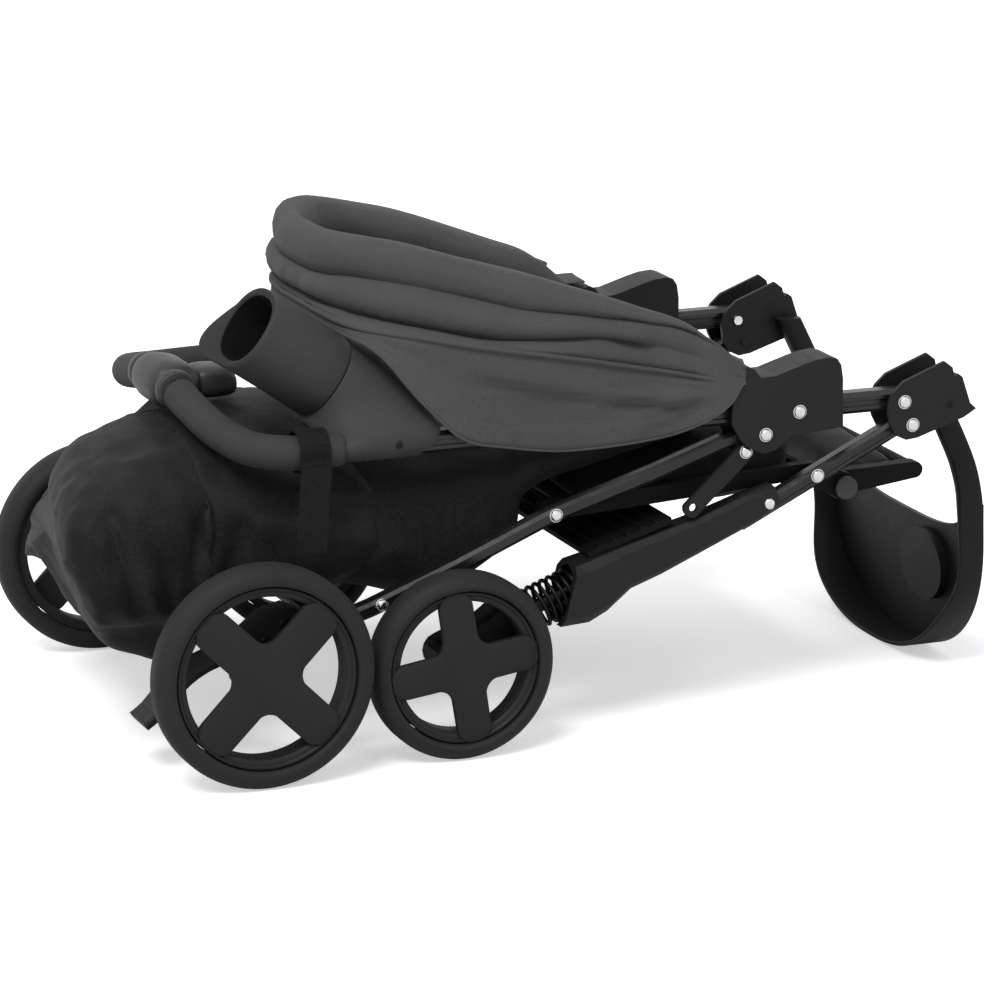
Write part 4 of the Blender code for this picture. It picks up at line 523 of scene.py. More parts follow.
def build_rim(kind, side_name, side, bead):
    """One wheel's ring and hub, and the lobes that ride with them."""
    spec = WHEELS[kind]
    x, z, plane = spec["x"], spec["z"], spec["plane"]
    body = "%s_wheel_%s" % (kind, side_name)
    outer = bead - 0.0003
    inner = outer - RIM_WALL
    face = RIM_FACE
    ring = [(-0.0120, inner + 0.0010), (-0.0120, outer), (face + 0.0005, outer),
            (face + 0.0020, outer - 0.0008), (face + 0.0022, outer - 0.0024), (face + 0.0012, outer - 0.0036),
            (face + 0.0004, outer - 0.0040), (face + 0.0002, inner + 0.0020), (face - 0.0008, inner + 0.0004),
            (face - 0.0020, inner), (-0.0100, inner)]
    hub = [(-0.0150, HUB_BORE), (-0.0150, HUB_RADIUS - 0.0010), (-0.0142, HUB_RADIUS),
           (face - 0.0030, HUB_RADIUS), (face - 0.0030, HUB_BORE)]
    parts = [lathe(x, z, plane, side, ring, 96), lathe(x, z, plane, side, hub, 32)]
    rim = add_piece("%s_rim_look_%s" % (kind, side_name), *merged(parts), WHEEL_PLASTIC, body, 40.0)
    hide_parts("%s_rim_%s" % (kind, side_name))

    outline = lobe_outline(spec["reach"], spec["turn"], spec["lobe"])
    count = len(outline)
    loops = []
    for inset, out in LOBE_EDGE:
        loop = []
        for i in range(count):
            (ax, az), (bx, bz), (cx, cz) = (outline[k % count] for k in (i - 1, i, i + 1))
            along = Vector((cx - ax, cz - az)).normalized()
            y = side * (plane + face + out)
            loop.append(at(x + bx - along.y * inset, y, z + bz + along.x * inset))
        loops.append(loop)
    lobes = add_piece("%s_lobes_%s" % (kind, side_name), *skin(loops), WHEEL_PLASTIC, body, 30.0)
    lobes.parent = rim
    lobes.matrix_parent_inverse = rim.matrix_world.inverted()


for side_name, side in SIDES:
    for kind, spec in WHEELS.items():
        bead = spec["z"] - spec["tread"]
        build_tyre(kind, side_name, side, bead)
        build_rim(kind, side_name, side, bead)


# Springs
STRUT_MOUTH = (0.2790, 0.1180)
STRUT_ANGLE = 200.7
STRUT_PLANE = 0.179
SPRING_RADIUS = 0.0177
SPRING_WIRE = 0.0017
SPRING_TURNS = 7
SPRING_START = -0.0130
SPRING_END = 0.0320


def build_spring(side_name, side):
    """The suspension spring as round wire, riding on the strut."""
    axis = side_direction(STRUT_ANGLE)
    across = Vector((0.0, 1.0, 0.0))
    other = axis.cross(across)
    mouth = at(STRUT_MOUTH[0], side * STRUT_PLANE, STRUT_MOUTH[1])
    length = SPRING_END - SPRING_START
    steps = SPRING_TURNS * 28
    path = []
    for i in range(steps + 1):
        turn = 2.0 * math.pi * SPRING_TURNS * i / steps
        along = SPRING_START + length * i / steps
        path.append(mouth + axis * along + SPRING_RADIUS * (math.cos(turn) * across + math.sin(turn) * other))
    wire = round_section(SPRING_WIRE, 10)
    coil = skin(sweep(path, lambda t: wire, axis))
    spring = add_piece("front_spring_look_" + side_name, *coil, SPRING_METAL, "front_strut_" + side_name)
    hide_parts("front_spring_" + side_name)
    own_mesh(spring)


for side_name, side in SIDES:
    build_spring(side_name, side)


# Handle: foam grips, the release unit and its lever, the cup holder and its mount
HANDLE_ROUTE = [(0.0892, 0.182, 0.2600), (0.0745, 0.1820, 0.2600), (0.0450, 0.1800, 0.2598),
                (0.0160, 0.1640, 0.2632), (0.0010, 0.1250, 0.2708), (-0.0050, 0.0750, 0.2804),
                (-0.0070, 0.0380, 0.2875), (-0.0075, 0.0, 0.2890)]
GRIP_RADIUS = 0.0142
GRIP_START = 0.0435
BOW_RADIUS = 0.0095
BOW_CLEARANCE = 0.0004
# Middle of the bow in the side view
HANDLE_MIDDLE = -0.0075
RELEASE_HEIGHT = 0.2884
LEVER_HEIGHT = 0.2858


def build_grip(side_name, side):
    """A foam grip with rounded ends and a faint ripple along it."""
    route = [at(x, side * y, z) for x, y, z in HANDLE_ROUTE]
    path = [p for p in spline(route, 10) if side * p.y > GRIP_START]
    last = len(path) - 1

    def section(t):
        here = path[round(t * last)]
        reach = min((here - path[0]).length, (here - path[-1]).length)
        ease = math.sqrt(max(0.0, 1.0 - (1.0 - min(reach / 0.0050, 1.0)) ** 2))
        ripple = 1.0 + 0.012 * noise.noise(here * 30.0)
        return round_section((GRIP_RADIUS - 0.0040 * (1.0 - ease)) * ripple, 28)

    bore = round_section(BOW_RADIUS + BOW_CLEARANCE, 28)
    rings = sweep(path, section) + list(reversed(sweep(path, lambda t: bore)))
    grip = add_piece("grip_look_" + side_name, *skin(rings, True, True), GRIP_FOAM, "handle_frame", 50.0)
    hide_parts("handle_grip_" + side_name)


def build_release_unit():
    """The centre unit: ringed necks and a rounded shell over the bow."""
    middle = at(HANDLE_MIDDLE, 0.0, RELEASE_HEIGHT)
    # Distance from the middle and radius, from one neck's end to the middle
    rows = [(-0.0460, 0.0105), (-0.0455, 0.0148), (-0.0440, 0.0162), (-0.0400, 0.0168), (-0.0355, 0.0166),
            (-0.0335, 0.0152), (-0.0328, 0.0140), (-0.0318, 0.0140), (-0.0306, 0.0158), (-0.0290, 0.0172),
            (-0.0250, 0.0184), (-0.0180, 0.0190)]
    rows += [(-y, r) for y, r in reversed(rows)]
    turns = circle(36)
    rings = []
    for y, r in rows:
        share = max(0.0, 1.0 - (abs(y) / 0.0325) ** 2.6)
        ring = []
        for c, s in turns:
            forward = (0.0125 if c > 0.0 else 0.0) * share * c
            rise = 0.0008 * share * (1.0 if s > 0.0 else 0.6) * s
            ring.append(middle + Vector((r * c + forward, y, (r + 0.0010 * share) * s + rise)))
        rings.append(ring)
    bore = BOW_RADIUS + BOW_CLEARANCE
    for y in (0.0461, -0.0461):
        rings.append([middle + Vector((bore * c, y, bore * s)) for c, s in turns])
    unit = add_piece("release_unit_look", *skin(rings, True, True), GREY_PLASTIC, "handle_frame", 40.0)
    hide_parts("release_housing")


def build_release_lever():
    """The squeeze lever: a rounded block that tapers and dips towards its tip."""
    rings = []
    for x, half_y, half_z, dip in ((0.0262, 0.0165, 0.0090, 0.0), (0.0268, 0.0192, 0.0118, 0.0),
                                   (0.0290, 0.0206, 0.0132, 0.0), (0.0370, 0.0212, 0.0138, 0.0),
                                   (0.0470, 0.0210, 0.0136, 0.0004), (0.0545, 0.0202, 0.0124, 0.0010),
                                   (0.0590, 0.0182, 0.0098, 0.0018), (0.0612, 0.0140, 0.0060, 0.0024)):
        section = squircle(half_y, half_z, 3.2, 48)
        rings.append([at(HANDLE_MIDDLE + x, a, LEVER_HEIGHT - dip + b) for a, b in section])
    lever = add_piece("release_lever_look", *skin(rings), GREY_PLASTIC, "fold_release", 50.0)
    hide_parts("release_lever")


CUP_MOUTH = (0.0290, -0.1180, 0.3535)
CUP_AXIS = 144.5
CUP_SIDES = 72
# Rings from the base to the rim: distance below the mouth, half width, half height, flare
CUP_SHELL = [(0.0778, 0.0440, 0.0340, 0.0), (0.0776, 0.0462, 0.0362, 0.0), (0.0760, 0.0468, 0.0367, 0.0),
             (0.0600, 0.0466, 0.0366, 0.0020), (0.0350, 0.0463, 0.0364, 0.0120),
             (0.0160, 0.0461, 0.0362, 0.0300), (0.0050, 0.0460, 0.0361, 0.0500),
             (0.0012, 0.0460, 0.0360, 0.0560), (0.0002, 0.0454, 0.0354, 0.0560),
             (0.0, 0.0446, 0.0346, 0.0540)]
CUP_WELL = [(0.0001, 0.0412, 0.0306), (0.0010, 0.0402, 0.0296), (0.0300, 0.0402, 0.0298),
            (0.0690, 0.0405, 0.0306), (0.0735, 0.0380, 0.0285)]
CUP_WELL_SHIFT = -0.0025
# The mount: rings under the cup's base, then sections down to the tube: ends in X and Z, near and far Y,
# squareness
MOUNT_TOP = [(0.0786, 0.0440, 0.0340), (0.0788, 0.0464, 0.0364), (0.0800, 0.0470, 0.0368)]
MOUNT_FAN = [((0.0700, 0.2738), (0.1360, 0.3290), -0.1690, -0.0760, 2.4),
             ((0.0735, 0.2700), (0.1540, 0.3100), -0.1770, -0.0860, 2.8),
             ((0.0765, 0.2672), (0.1650, 0.2920), -0.1860, -0.1020, 3.4),
             ((0.0790, 0.2650), (0.1712, 0.2800), -0.1930, -0.1220, 4.0),
             ((0.0812, 0.2625), (0.1730, 0.2710), -0.1962, -0.1400, 5.0),
             ((0.0832, 0.2595), (0.1725, 0.2650), -0.1966, -0.1520, 5.0),
             ((0.0850, 0.2560), (0.1700, 0.2590), -0.1958, -0.1560, 5.0),
             ((0.0865, 0.2520), (0.1665, 0.2535), -0.1925, -0.1590, 4.5),
             ((0.0885, 0.2490), (0.1630, 0.2495), -0.1870, -0.1620, 4.0),
             ((0.0910, 0.2478), (0.1600, 0.2480), -0.1830, -0.1660, 3.0)]


def cup_loop(distance, half_width, half_height, flare=0.0, shift=0.0):
    """An oval ring across the cup's axis; the flare draws out its low corner on the inner side."""
    axis = side_direction(CUP_AXIS)
    across = Vector((axis.z, 0.0, -axis.x))
    centre = at(*CUP_MOUTH) - axis * distance
    ring = []
    for a, b in squircle(half_width, half_height, 2.3, CUP_SIDES):
        corner = flare * max(0.0, a / half_width) ** 0.8 * max(0.0, (0.35 - b / half_height) / 1.35)
        ring.append(centre + Vector((0.0, a + shift + corner, 0.0)) + across * (b - 0.15 * corner))
    return ring


def build_cup_holder():
    """The oval cup with a flat flared rim and a well painted dark as the shade inside it."""
    rings = [cup_loop(*row) for row in CUP_SHELL] + [cup_loop(*row, 0.0, CUP_WELL_SHIFT) for row in CUP_WELL]
    cup = add_piece("cup_holder_look", *skin(rings), CUP_PLASTIC, "handle_frame", 40.0)
    # Second slot: the well's painted shade; third slot: the rim
    cup.data.materials.append(WELL_PAINTED_SHADE)
    cup.data.materials.append(RIM_PLASTIC)
    rim_start = (len(CUP_SHELL) - 2) * CUP_SIDES
    well_start = (len(CUP_SHELL) + 1) * CUP_SIDES
    base = len(cup.data.polygons) - 2
    for index, face in enumerate(cup.data.polygons):
        if index >= rim_start and index != base:
            face.material_index = 1 if index >= well_start else 2
    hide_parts("cup_holder")


def build_cup_mount():
    """The smooth mount that carries the cup on the tube."""
    rings = [cup_loop(*row) for row in MOUNT_TOP]
    for low, high, near, far, power in MOUNT_FAN:
        start = at(low[0], 0.0, low[1])
        end = at(high[0], 0.0, high[1])
        middle = (start + end) / 2.0 + Vector((0.0, 0.5 * (near + far), 0.0))
        half = (end - start) / 2.0
        rings.append([middle + half * b + Vector((0.0, 0.5 * (far - near) * a, 0.0))
                      for a, b in squircle(1.0, 1.0, power, CUP_SIDES)])
    mount = add_piece("cup_mount_look", *skin(rings), CUP_PLASTIC, "handle_frame", 45.0)
    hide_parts("cup_holder_clip")


for side_name, side in SIDES:
    build_grip(side_name, side)
build_release_unit()
build_release_lever()
build_cup_holder()
build_cup_mount()


# Tray: a plate with a deep rounded band, two arms and an oval cup recess
TRAY_HALF = 0.1600
TRAY_TOP = 0.2580
TRAY_SHOULDER = 0.118
TRAY_STEP = 0.010
PLATE_TOP = 0.1500
TRAY_BACK = 0.6680
TRAY_FRONT = 0.6720
# The oval recess: middle in Y and Z, half width, half height
TRAY_RECESS = (-0.055, 0.076, 0.043, 0.031)
# The band by height: front X, back X, thickness
TRAY_BAND = [(0.0, 0.6720, 0.6350, 0.0040), (0.030, 0.6720, 0.6370, 0.0040),
             (0.090, 0.6720, 0.6500, 0.0045), (0.130, 0.6720, 0.6490, 0.0070),
             (0.155, 0.6715, 0.6490, 0.0120), (0.185, 0.6660, 0.6440, 0.0160),
             (0.212, 0.6555, 0.6330, 0.0165), (0.238, 0.6435, 0.6210, 0.0165),
             (0.260, 0.6330, 0.6100, 0.0165)]


def tray_edge(half_width, bottom, top):
    """The tray's round lower lip and straight sides, seen along X."""
    shoulder = bottom + TRAY_SHOULDER
    heights = [top - TRAY_STEP * k for k in range(int((top - shoulder) / TRAY_STEP) + 1)]
    points = [(-half_width, z) for z in heights]
    steps = 48
    for i in range(steps + 1):
        turn = math.pi * i / steps
        fall = (shoulder - bottom) * math.sin(turn) ** 0.92
        points.append((-half_width * signed_power(math.cos(turn), 0.80), shoulder - fall))
    points += [(half_width, z) for z in reversed(heights)]
    return points


def tray_band():
    """The band and arms: a soft-edged strip that follows the tray's edge."""
    edge = tray_edge(TRAY_HALF, 0.0, TRAY_TOP)
    last = len(edge) - 1
    rings = []
    for i, (y, z) in enumerate(edge):
        along = (Vector(edge[min(i + 1, last)]) - Vector(edge[max(i - 1, 0)])).normalized()
        inward = Vector((-along.y, along.x))
        if inward.dot(Vector((-y, TRAY_SHOULDER - z))) < 0.0:
            inward = -inward
        front, back, wall = (interpolate([(row[0], row[k]) for row in TRAY_BAND], z) for k in (1, 2, 3))
        soft = 0.30 * wall
        nick = 0.3 * soft
        ring = []
        for x, depth in ((front, soft), (front - nick, nick), (front - soft, 0.0), (back + soft, 0.0),
                         (back + nick, nick), (back, soft), (back, wall - soft), (back + nick, wall - nick),
                         (back + soft, wall), (front - soft, wall), (front - nick, wall - nick),
                         (front, wall - soft)):
            ring.append(at(x, y + inward.x * depth, z + inward.y * depth))
        rings.append(ring)
    return skin(rings)


def tray_plate():
    """The plate below the opening between the arms, with the recess sunk into both its faces."""
    outline = tray_edge(TRAY_HALF - 0.0020, 0.0020, PLATE_TOP)
    inner = TRAY_HALF - 0.0190
    for i in range(25):
        turn = math.pi * i / 24
        height = min(PLATE_TOP + 0.0020, PLATE_TOP + 0.0190 - 0.055 * math.sin(turn) ** 0.7)
        outline.append((inner * signed_power(math.cos(turn), 0.6), height))
    middle_y, middle_z, half_y, half_z = TRAY_RECESS
    plate = bmesh.new()
    borders = []
    for x, shrink, depth in ((TRAY_FRONT, 0.0030, 0.0105), (TRAY_BACK, 0.0, 0.0085)):
        recess = [(middle_y + (half_y - shrink) * c, middle_z + (half_z - shrink) * s) for c, s in circle(48)]
        loops = []
        edges = []
        for loop in (outline, recess):
            corners = [plate.verts.new(at(x, y, z)) for y, z in loop]
            edges += [plate.edges.new((corners[i - 1], corners[i])) for i in range(len(corners))]
            loops.append(corners)
        bmesh.ops.triangle_fill(plate, edges=edges, use_beauty=True)
        border, lip = loops
        floor = [plate.verts.new(v.co - Vector((depth, 0.0, 0.0))) for v in lip]
        for i in range(len(lip)):
            plate.faces.new((lip[i - 1], lip[i], floor[i], floor[i - 1]))
        plate.faces.new(floor)
        borders.append(border)
    front, back = borders
    for i in range(len(front)):
        plate.faces.new((front[i - 1], front[i], back[i], back[i - 1]))
    bmesh.ops.recalc_face_normals(plate, faces=plate.faces)
    plate.verts.index_update()
    verts = [v.co.copy() for v in plate.verts]
    faces = [tuple(v.index for v in face.verts) for face in plate.faces]
    plate.free()
    return verts, faces


def build_tray():
    """The child's tray as one smooth moulding."""
    tray = add_piece("tray_look", *merged([tray_band(), tray_plate()]), TRAY_PLASTIC, "front_frame", 40.0)
    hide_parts("child_tray")


build_tray()


# Rivets and screws: (body, x, z, face distance, radius, rise)
RIVETS = [("front_frame", 0.5784, 0.2575, 0.2020, 0.0053, 0.0032),
          ("front_frame", 0.5858, 0.2372, 0.2020, 0.0053, 0.0032),
          ("handle_frame", 0.4831, 0.2580, 0.2020, 0.0053, 0.0032),
          ("handle_frame", 0.4525, 0.2412, 0.2020, 0.0053, 0.0032),
          ("rear_frame", 0.4370, 0.2270, 0.1963, 0.0051, 0.0030),
          ("rear_frame", 0.2710, 0.1874, 0.1885, 0.0052, 0.0032),
          ("seat_frame", 0.5041, 0.1988, 0.1903, 0.0052, 0.0030),
          ("front_frame", 0.4590, 0.1800, 0.1932, 0.0050, 0.0030),
          ("rear_frame", 0.1180, 0.1272, 0.1885, 0.0050, 0.0030)]
SCREWS = [("front_frame", 0.6200, 0.2520, 0.2020, 0.0046),
          ("handle_frame", 0.1330, 0.2620, 0.1966, 0.0034),
          ("rear_frame", 0.0267, 0.1265, 0.2130, 0.0050), ("rear_frame", 0.0093, 0.1130, 0.2130, 0.0050)]


def screw_head(centre, out, radius):
    """A low head with a raised cross."""
    parts = [dome(centre, out, radius, 0.0009, 4)]
    for turn in (25.0, 115.0):
        along = side_direction(turn)
        across = along.cross(out)
        loop = [(0.55, 0.10), (-0.55, 0.10), (-0.55, -0.10), (0.55, -0.10)]
        parts.append(skin([[centre + out * lift + (along * a + across * b) * radius for a, b in loop]
                           for lift in (0.0006, 0.00115)]))
    return merged(parts)


def build_fasteners():
    """Bright rivet heads over the CAD rivets, and small cross-head screws."""
    for body in sorted({row[0] for row in RIVETS}):
        for side_name, side in SIDES:
            out = Vector((0.0, side, 0.0))
            parts = []
            for owner, x, z, face, radius, rise in RIVETS:
                if owner == body:
                    parts.append(dome(at(x, side * (face + 0.0001), z), out, radius + 0.0006, 0.0006))
                    parts.append(dome(at(x, side * (face + 0.0003), z), out, radius, rise))
            add_piece("rivet_heads_%s_%s" % (body, side_name), *merged(parts), STEEL_METAL, body, 50.0)
    for index, (body, x, z, face, radius) in enumerate(SCREWS):
        # The handle's screw holds the cup mount, which is on the right only
        for side_name, side in SIDES[:1] if body == "handle_frame" else SIDES:
            head = screw_head(at(x, side * (face - 0.0002), z), Vector((0.0, side, 0.0)), radius)
            add_piece("screw_%d_%s" % (index, side_name), *head, SPRING_METAL, body, 40.0)


build_fasteners()


# Canopy: one gathered cloth over the front, middle and rear bows
CANOPY_PIVOT = (0.4340, 0.2880)
CANOPY_HALF = 0.1880
CANOPY_LENGTH = 0.3130
# How square the plan of the stuffed rolls is
ROLL_POWER = 2.8
# Rows of the cloth's section: the rolls and bands down to the piping, then the skirt
ROLL_ROWS = 28
SKIRT_ROWS = 14
# How far the far side's cloth lies lower, and how far out it drapes over the tube
FAR_DROP = 0.0110
DRAPE_REACH = 0.1968
# The armrest brackets, which the cloth passes over and outside
BRACKET_TOP = 0.3032
BRACKET_REACH = 0.2038
CLOTH_THICKNESS = 0.0012
HEM_RADIUS = 0.0011

# Heights of the cloth's lines by their distance in front of the pivots
CREST = [(-0.004, 0.2990), (0.006, 0.3060), (0.020, 0.3180), (0.046, 0.3385), (0.084, 0.3540),
         (0.134, 0.3715), (0.181, 0.3870), (0.217, 0.3965), (0.253, 0.4055), (0.287, 0.4130),
         (0.303, 0.4138), (0.335, 0.4120)]
FIRST_SEAM = [(-0.004, 0.2960), (0.040, 0.3300), (0.091, 0.3450), (0.140, 0.3540), (0.188, 0.3615),
              (0.224, 0.3710), (0.260, 0.3795), (0.298, 0.3830), (0.313, 0.3790), (0.335, 0.3770)]
FOLD = [(-0.004, 0.2930), (0.046, 0.3140), (0.085, 0.3270), (0.125, 0.3350), (0.173, 0.3366),
        (0.207, 0.3380), (0.233, 0.3420), (0.261, 0.3480), (0.287, 0.3525), (0.309, 0.3570),
        (0.335, 0.3600)]
PIPING = [(-0.004, 0.2890), (0.014, 0.2892), (0.076, 0.3031), (0.145, 0.3185), (0.2126, 0.3320),
          (0.246, 0.3390), (0.2796, 0.3470), (0.300, 0.3495), (0.335, 0.3505)]
HEM = [(-0.004, 0.2868), (0.0045, 0.2850), (0.007, 0.2790), (0.0256, 0.2628), (0.050, 0.2530),
       (0.078, 0.2478), (0.147, 0.2445), (0.208, 0.2520), (0.2487, 0.2640), (0.2685, 0.2854),
       (0.2816, 0.3028), (0.298, 0.3320), (0.306, 0.3410), (0.335, 0.3440)]
# The front bow inside the roll: distance in front of the pivots, distance from the middle
BOW_PLAN = [(0.007, 0.1600), (0.054, 0.1573), (0.099, 0.1525), (0.159, 0.1436), (0.189, 0.1350),
            (0.224, 0.1242), (0.249, 0.1060), (0.279, 0.0890), (0.309, 0.0450), (0.3155, 0.0)]


def canopy_plan(turn, power):
    """Distance in front of the pivots and Y on the canopy's plan, which is squarer for a higher power."""
    s = math.sin(turn)
    c = max(1e-6, math.cos(turn))
    reach = (c ** power + abs(s) ** power) ** (-1.0 / power)
    return CANOPY_LENGTH * c * reach, CANOPY_HALF * s * reach


def canopy_station(turn, power):
    """Distance in front of the pivots, Y, and the outward direction."""
    ahead, y = canopy_plan(turn, power)
    limit = 0.5 * math.pi
    before = canopy_plan(max(-limit, turn - 0.01), power)
    after = canopy_plan(min(limit, turn + 0.01), power)
    along = Vector((-(after[0] - before[0]), after[1] - before[1], 0.0)).normalized()
    out = Vector((-along.y, along.x, 0.0))
    if out.dot(Vector((-ahead, y, 0.0))) < 0.0:
        out = -out
    return ahead, y, out


def bow_gap(ahead, y):
    """Distance on the plan from a point to the front bow inside the roll."""
    spot = Vector((ahead, abs(y), 0.0))
    gaps = []
    for near, far in zip(BOW_PLAN, BOW_PLAN[1:]):
        first = Vector((*near, 0.0))
        along = Vector((*far, 0.0)) - first
        share = clamped((spot - first).dot(along) / along.length_squared)
        gaps.append((spot - first - along * share).length)
    return min(gaps)


def canopy_rows(ahead, y, place, ruffle, ripple, pleat):
    """The cloth's section from the roll's inner edge to under the piping: offset outwards and height."""
    far = FAR_DROP * max(0.0, 1.0 - ahead / 0.270) * clamped(y / 0.080)
    crest = interpolate(CREST, ahead) - far
    seam = interpolate(FIRST_SEAM, ahead) - 0.8 * far
    fold = interpolate(FOLD, ahead) - 0.3 * far
    piping = interpolate(PIPING, ahead)
    girth = min(1.0, 0.35 + ahead / 0.16)
    deep = clamped((ahead - 0.075) / 0.07)
    low = min(seam - 0.014 * girth, 0.2785 + 0.364 * ahead)
    inner = min(0.0480, bow_gap(ahead, y) + 0.0080)
    # The second band ends in a deep fold a hand's width in front of the pivots
    tuck = math.exp(-((ahead - 0.098) / 0.016) ** 2) * (1.0 if y < 0.0 else 0.6)
    roll = crest - low
    first_band = crest - seam
    second_band = seam - fold
    third_band = fold - piping
    rows = [
        (-0.0040, low - 0.0020), (-0.70 * inner, low - 0.0008), (-0.95 * inner, low + 0.25 * roll),
        (-inner, low + 0.55 * roll), (-0.85 * inner, crest - 0.0060 * girth),
        (-0.48 * inner, crest - 0.0014 * girth),
        (-0.0020, crest), (0.0050, crest - 0.0016 * girth), (0.0098, crest - 0.0068 * girth),
        (0.0122, crest - 0.48 * first_band), (0.0120, crest - 0.72 * first_band), (0.0108, seam + 0.0022),
        (0.0068, seam + 0.0003), (0.0068, seam - 0.0005), (0.0108 + 0.002 * deep, seam - 0.16 * second_band),
        (0.0124 + 0.004 * deep, seam - 0.36 * second_band),
        (0.0130 + 0.0045 * deep + 0.0030 * tuck, seam - 0.58 * second_band),
        (0.0122 + 0.003 * deep + 0.0045 * tuck, seam - 0.80 * second_band),
        (0.0110 - 0.001 * deep + 0.0020 * tuck, fold + 0.0012), (0.0104 - 0.006 * deep - 0.0020 * tuck, fold),
        (0.0112 - 0.003 * deep - 0.0020 * tuck, fold - 0.0012 - 0.06 * third_band),
        (0.0126, fold - 0.30 * third_band), (0.0138, fold - 0.60 * third_band), (0.0136, piping + 0.0040),
        (0.0124, piping + 0.0030), (0.0160, piping + 0.0022), (0.0163, piping + 0.0003),
        (0.0126, piping - 0.0008),
    ]
    result = []
    for k, (reach, height) in enumerate(rows):
        swell = 0.0
        if 2 <= k <= 10:
            swell = 0.0022 * ruffle + 0.0006 * pleat
        elif 14 <= k <= 17:
            swell = 0.0034 * ripple + 0.0010 * pleat
        elif 21 <= k <= 22:
            swell = 0.0014 * ripple + 0.0008 * pleat
        result.append((reach * (0.5 + 0.5 * girth) + swell, height + 0.4 * swell))
    return result


def row_power(k, near_side):
    """How square each row's plan is: the roll is round, and the near side's skirt is square."""
    if not near_side or k < 12:
        return ROLL_POWER
    if k < 20:
        return ROLL_POWER + 0.1 * (k - 11)
    if k < ROLL_ROWS:
        return 3.6 + 0.45 * (k - 19)
    return 7.2 + 1.8 * (k - ROLL_ROWS) / SKIRT_ROWS


def skirt_point(ahead, place, share):
    """The loose skirt's offset outwards and height, at a share of its drop from the piping to the hem."""
    top = interpolate(PIPING, ahead) - 0.0008
    drop = top - interpolate(HEM, ahead)
    loose = math.sin(math.pi * min(1.0, share * 1.05)) * min(1.0, drop / 0.05)
    loose *= 1.0 + 0.9 * max(0.0, 1.0 - abs(ahead - 0.075) / 0.060)
    wave = noise.noise(Vector((place * 11.0 + share * 1.4, share * 2.6, 3.1)))
    ridge = noise.noise(Vector((place * 30.0 - share * 5.0, share * 6.0, 9.4)))
    slack = clamped((0.215 - ahead) / 0.030)
    sway = loose * (0.0060 * wave + 0.0034 * ridge) * (0.35 + 0.65 * slack)
    # One long fold runs from the front corner down to the back
    off_line = share - 0.30 - 1.25 * (0.240 - ahead)
    fold_ends = clamped((0.250 - ahead) / 0.030) * clamped((ahead - 0.045) / 0.040)
    sway += fold_ends * (0.0042 * math.exp(-((off_line + 0.10) / 0.075) ** 2)
                         - 0.0030 * math.exp(-((off_line - 0.03) / 0.045) ** 2))
    return 0.0140 + 0.0006 * share + max(sway, -0.0030), top - drop * share


def settle(spot, k, ahead, y):
    """Lifts a point clear of the armrest bracket, and on the far side drapes it over the tube."""
    near = clamped((0.042 - ahead) / 0.016)
    if k <= 9:
        spot.z += near * max(0.0, BRACKET_TOP + 0.0003 * k - spot.z)
    else:
        spot.y += near * math.copysign(max(0.0, BRACKET_REACH - abs(spot.y)), spot.y)
    if k >= 20 and y > 0.0:
        drape = clamped((0.2940 - spot.z) / 0.0140) * clamped((0.2900 - ahead) / 0.030)
        spot.y += eased(drape) * max(0.0, DRAPE_REACH - spot.y)


def canopy_rings():
    """Sections of the cloth from the near pivot round the front to the far one."""
    count = 150
    rings = []
    for i in range(count + 1):
        share = -1.0 + 2.0 * i / count
        turn = 0.5 * math.pi * math.copysign(1.0 - (1.0 - abs(share)) ** 1.22, share)
        place = i / count
        ruffle = noise.noise(Vector((place * 14.0, 0.3, 0.0)))
        ripple = noise.noise(Vector((place * 34.0, 7.3, 0.0)))
        pleat = math.sin(place * 420.0 + 3.0 * ruffle) * max(0.0, 1.0 - abs(abs(place - 0.5) - 0.16) / 0.10)
        ring = []
        for k in range(ROLL_ROWS + SKIRT_ROWS):
            ahead, y, out = canopy_station(turn, row_power(k, turn < 0.0))
            if k < ROLL_ROWS:
                reach, height = canopy_rows(ahead, y, place, ruffle, ripple, pleat)[k]
            else:
                reach, height = skirt_point(ahead, place, (k - ROLL_ROWS + 1) / SKIRT_ROWS)
            spot = at(CANOPY_PIVOT[0] - ahead, y, 0.0) + out * reach + Vector((0.0, 0.0, height))
            settle(spot, k, ahead, y)
            ring.append(spot)
        rings.append(ring)
    return rings


def build_canopy():
    """The canopy's cloth: a stuffed front roll, two gathered bands, a piped seam and a loose skirt."""
    rings = canopy_rings()
    cloth = add_piece("canopy_cloth", *skin(rings, False, False), CANOPY_CLOTH, None, None)
    thick = cloth.modifiers.new("thickness", "SOLIDIFY")
    thick.thickness = CLOTH_THICKNESS
    thick.offset = 0.0
    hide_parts("canopy_front_roll", "canopy_skirt")
    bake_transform(cloth)

    strip = round_section(HEM_RADIUS, 8)
    hem = sweep([ring[-1] for ring in rings], lambda t: strip, Vector((0.3, 0.0, 1.0)))
    add_piece("canopy_hem", *skin(hem), CANOPY_CLOTH, "handle_frame")


def build_canopy_middle():
    """The middle bow in its cloth sleeve, inside the gathered bands."""
    path = []
    count = 60
    for i in range(count + 1):
        turn = 0.5 * math.pi * (-1.0 + 2.0 * i / count) * 0.93
        ahead, y = canopy_plan(turn, ROLL_POWER)
        fold = interpolate(FOLD, ahead)
        height = fold + 0.40 * (interpolate(FIRST_SEAM, ahead) - fold)
        path.append(at(CANOPY_PIVOT[0] - ahead * 0.955, y * 0.955, height))
    section = round_section(0.0060, 16, 0.0045)
    shape = skin(sweep(path, lambda t: section))
    sleeve = add_piece("canopy_middle_sleeve", *shape, CANOPY_CLOTH, "canopy_middle")
    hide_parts("canopy_middle_roll")


build_canopy()
build_canopy_middle()


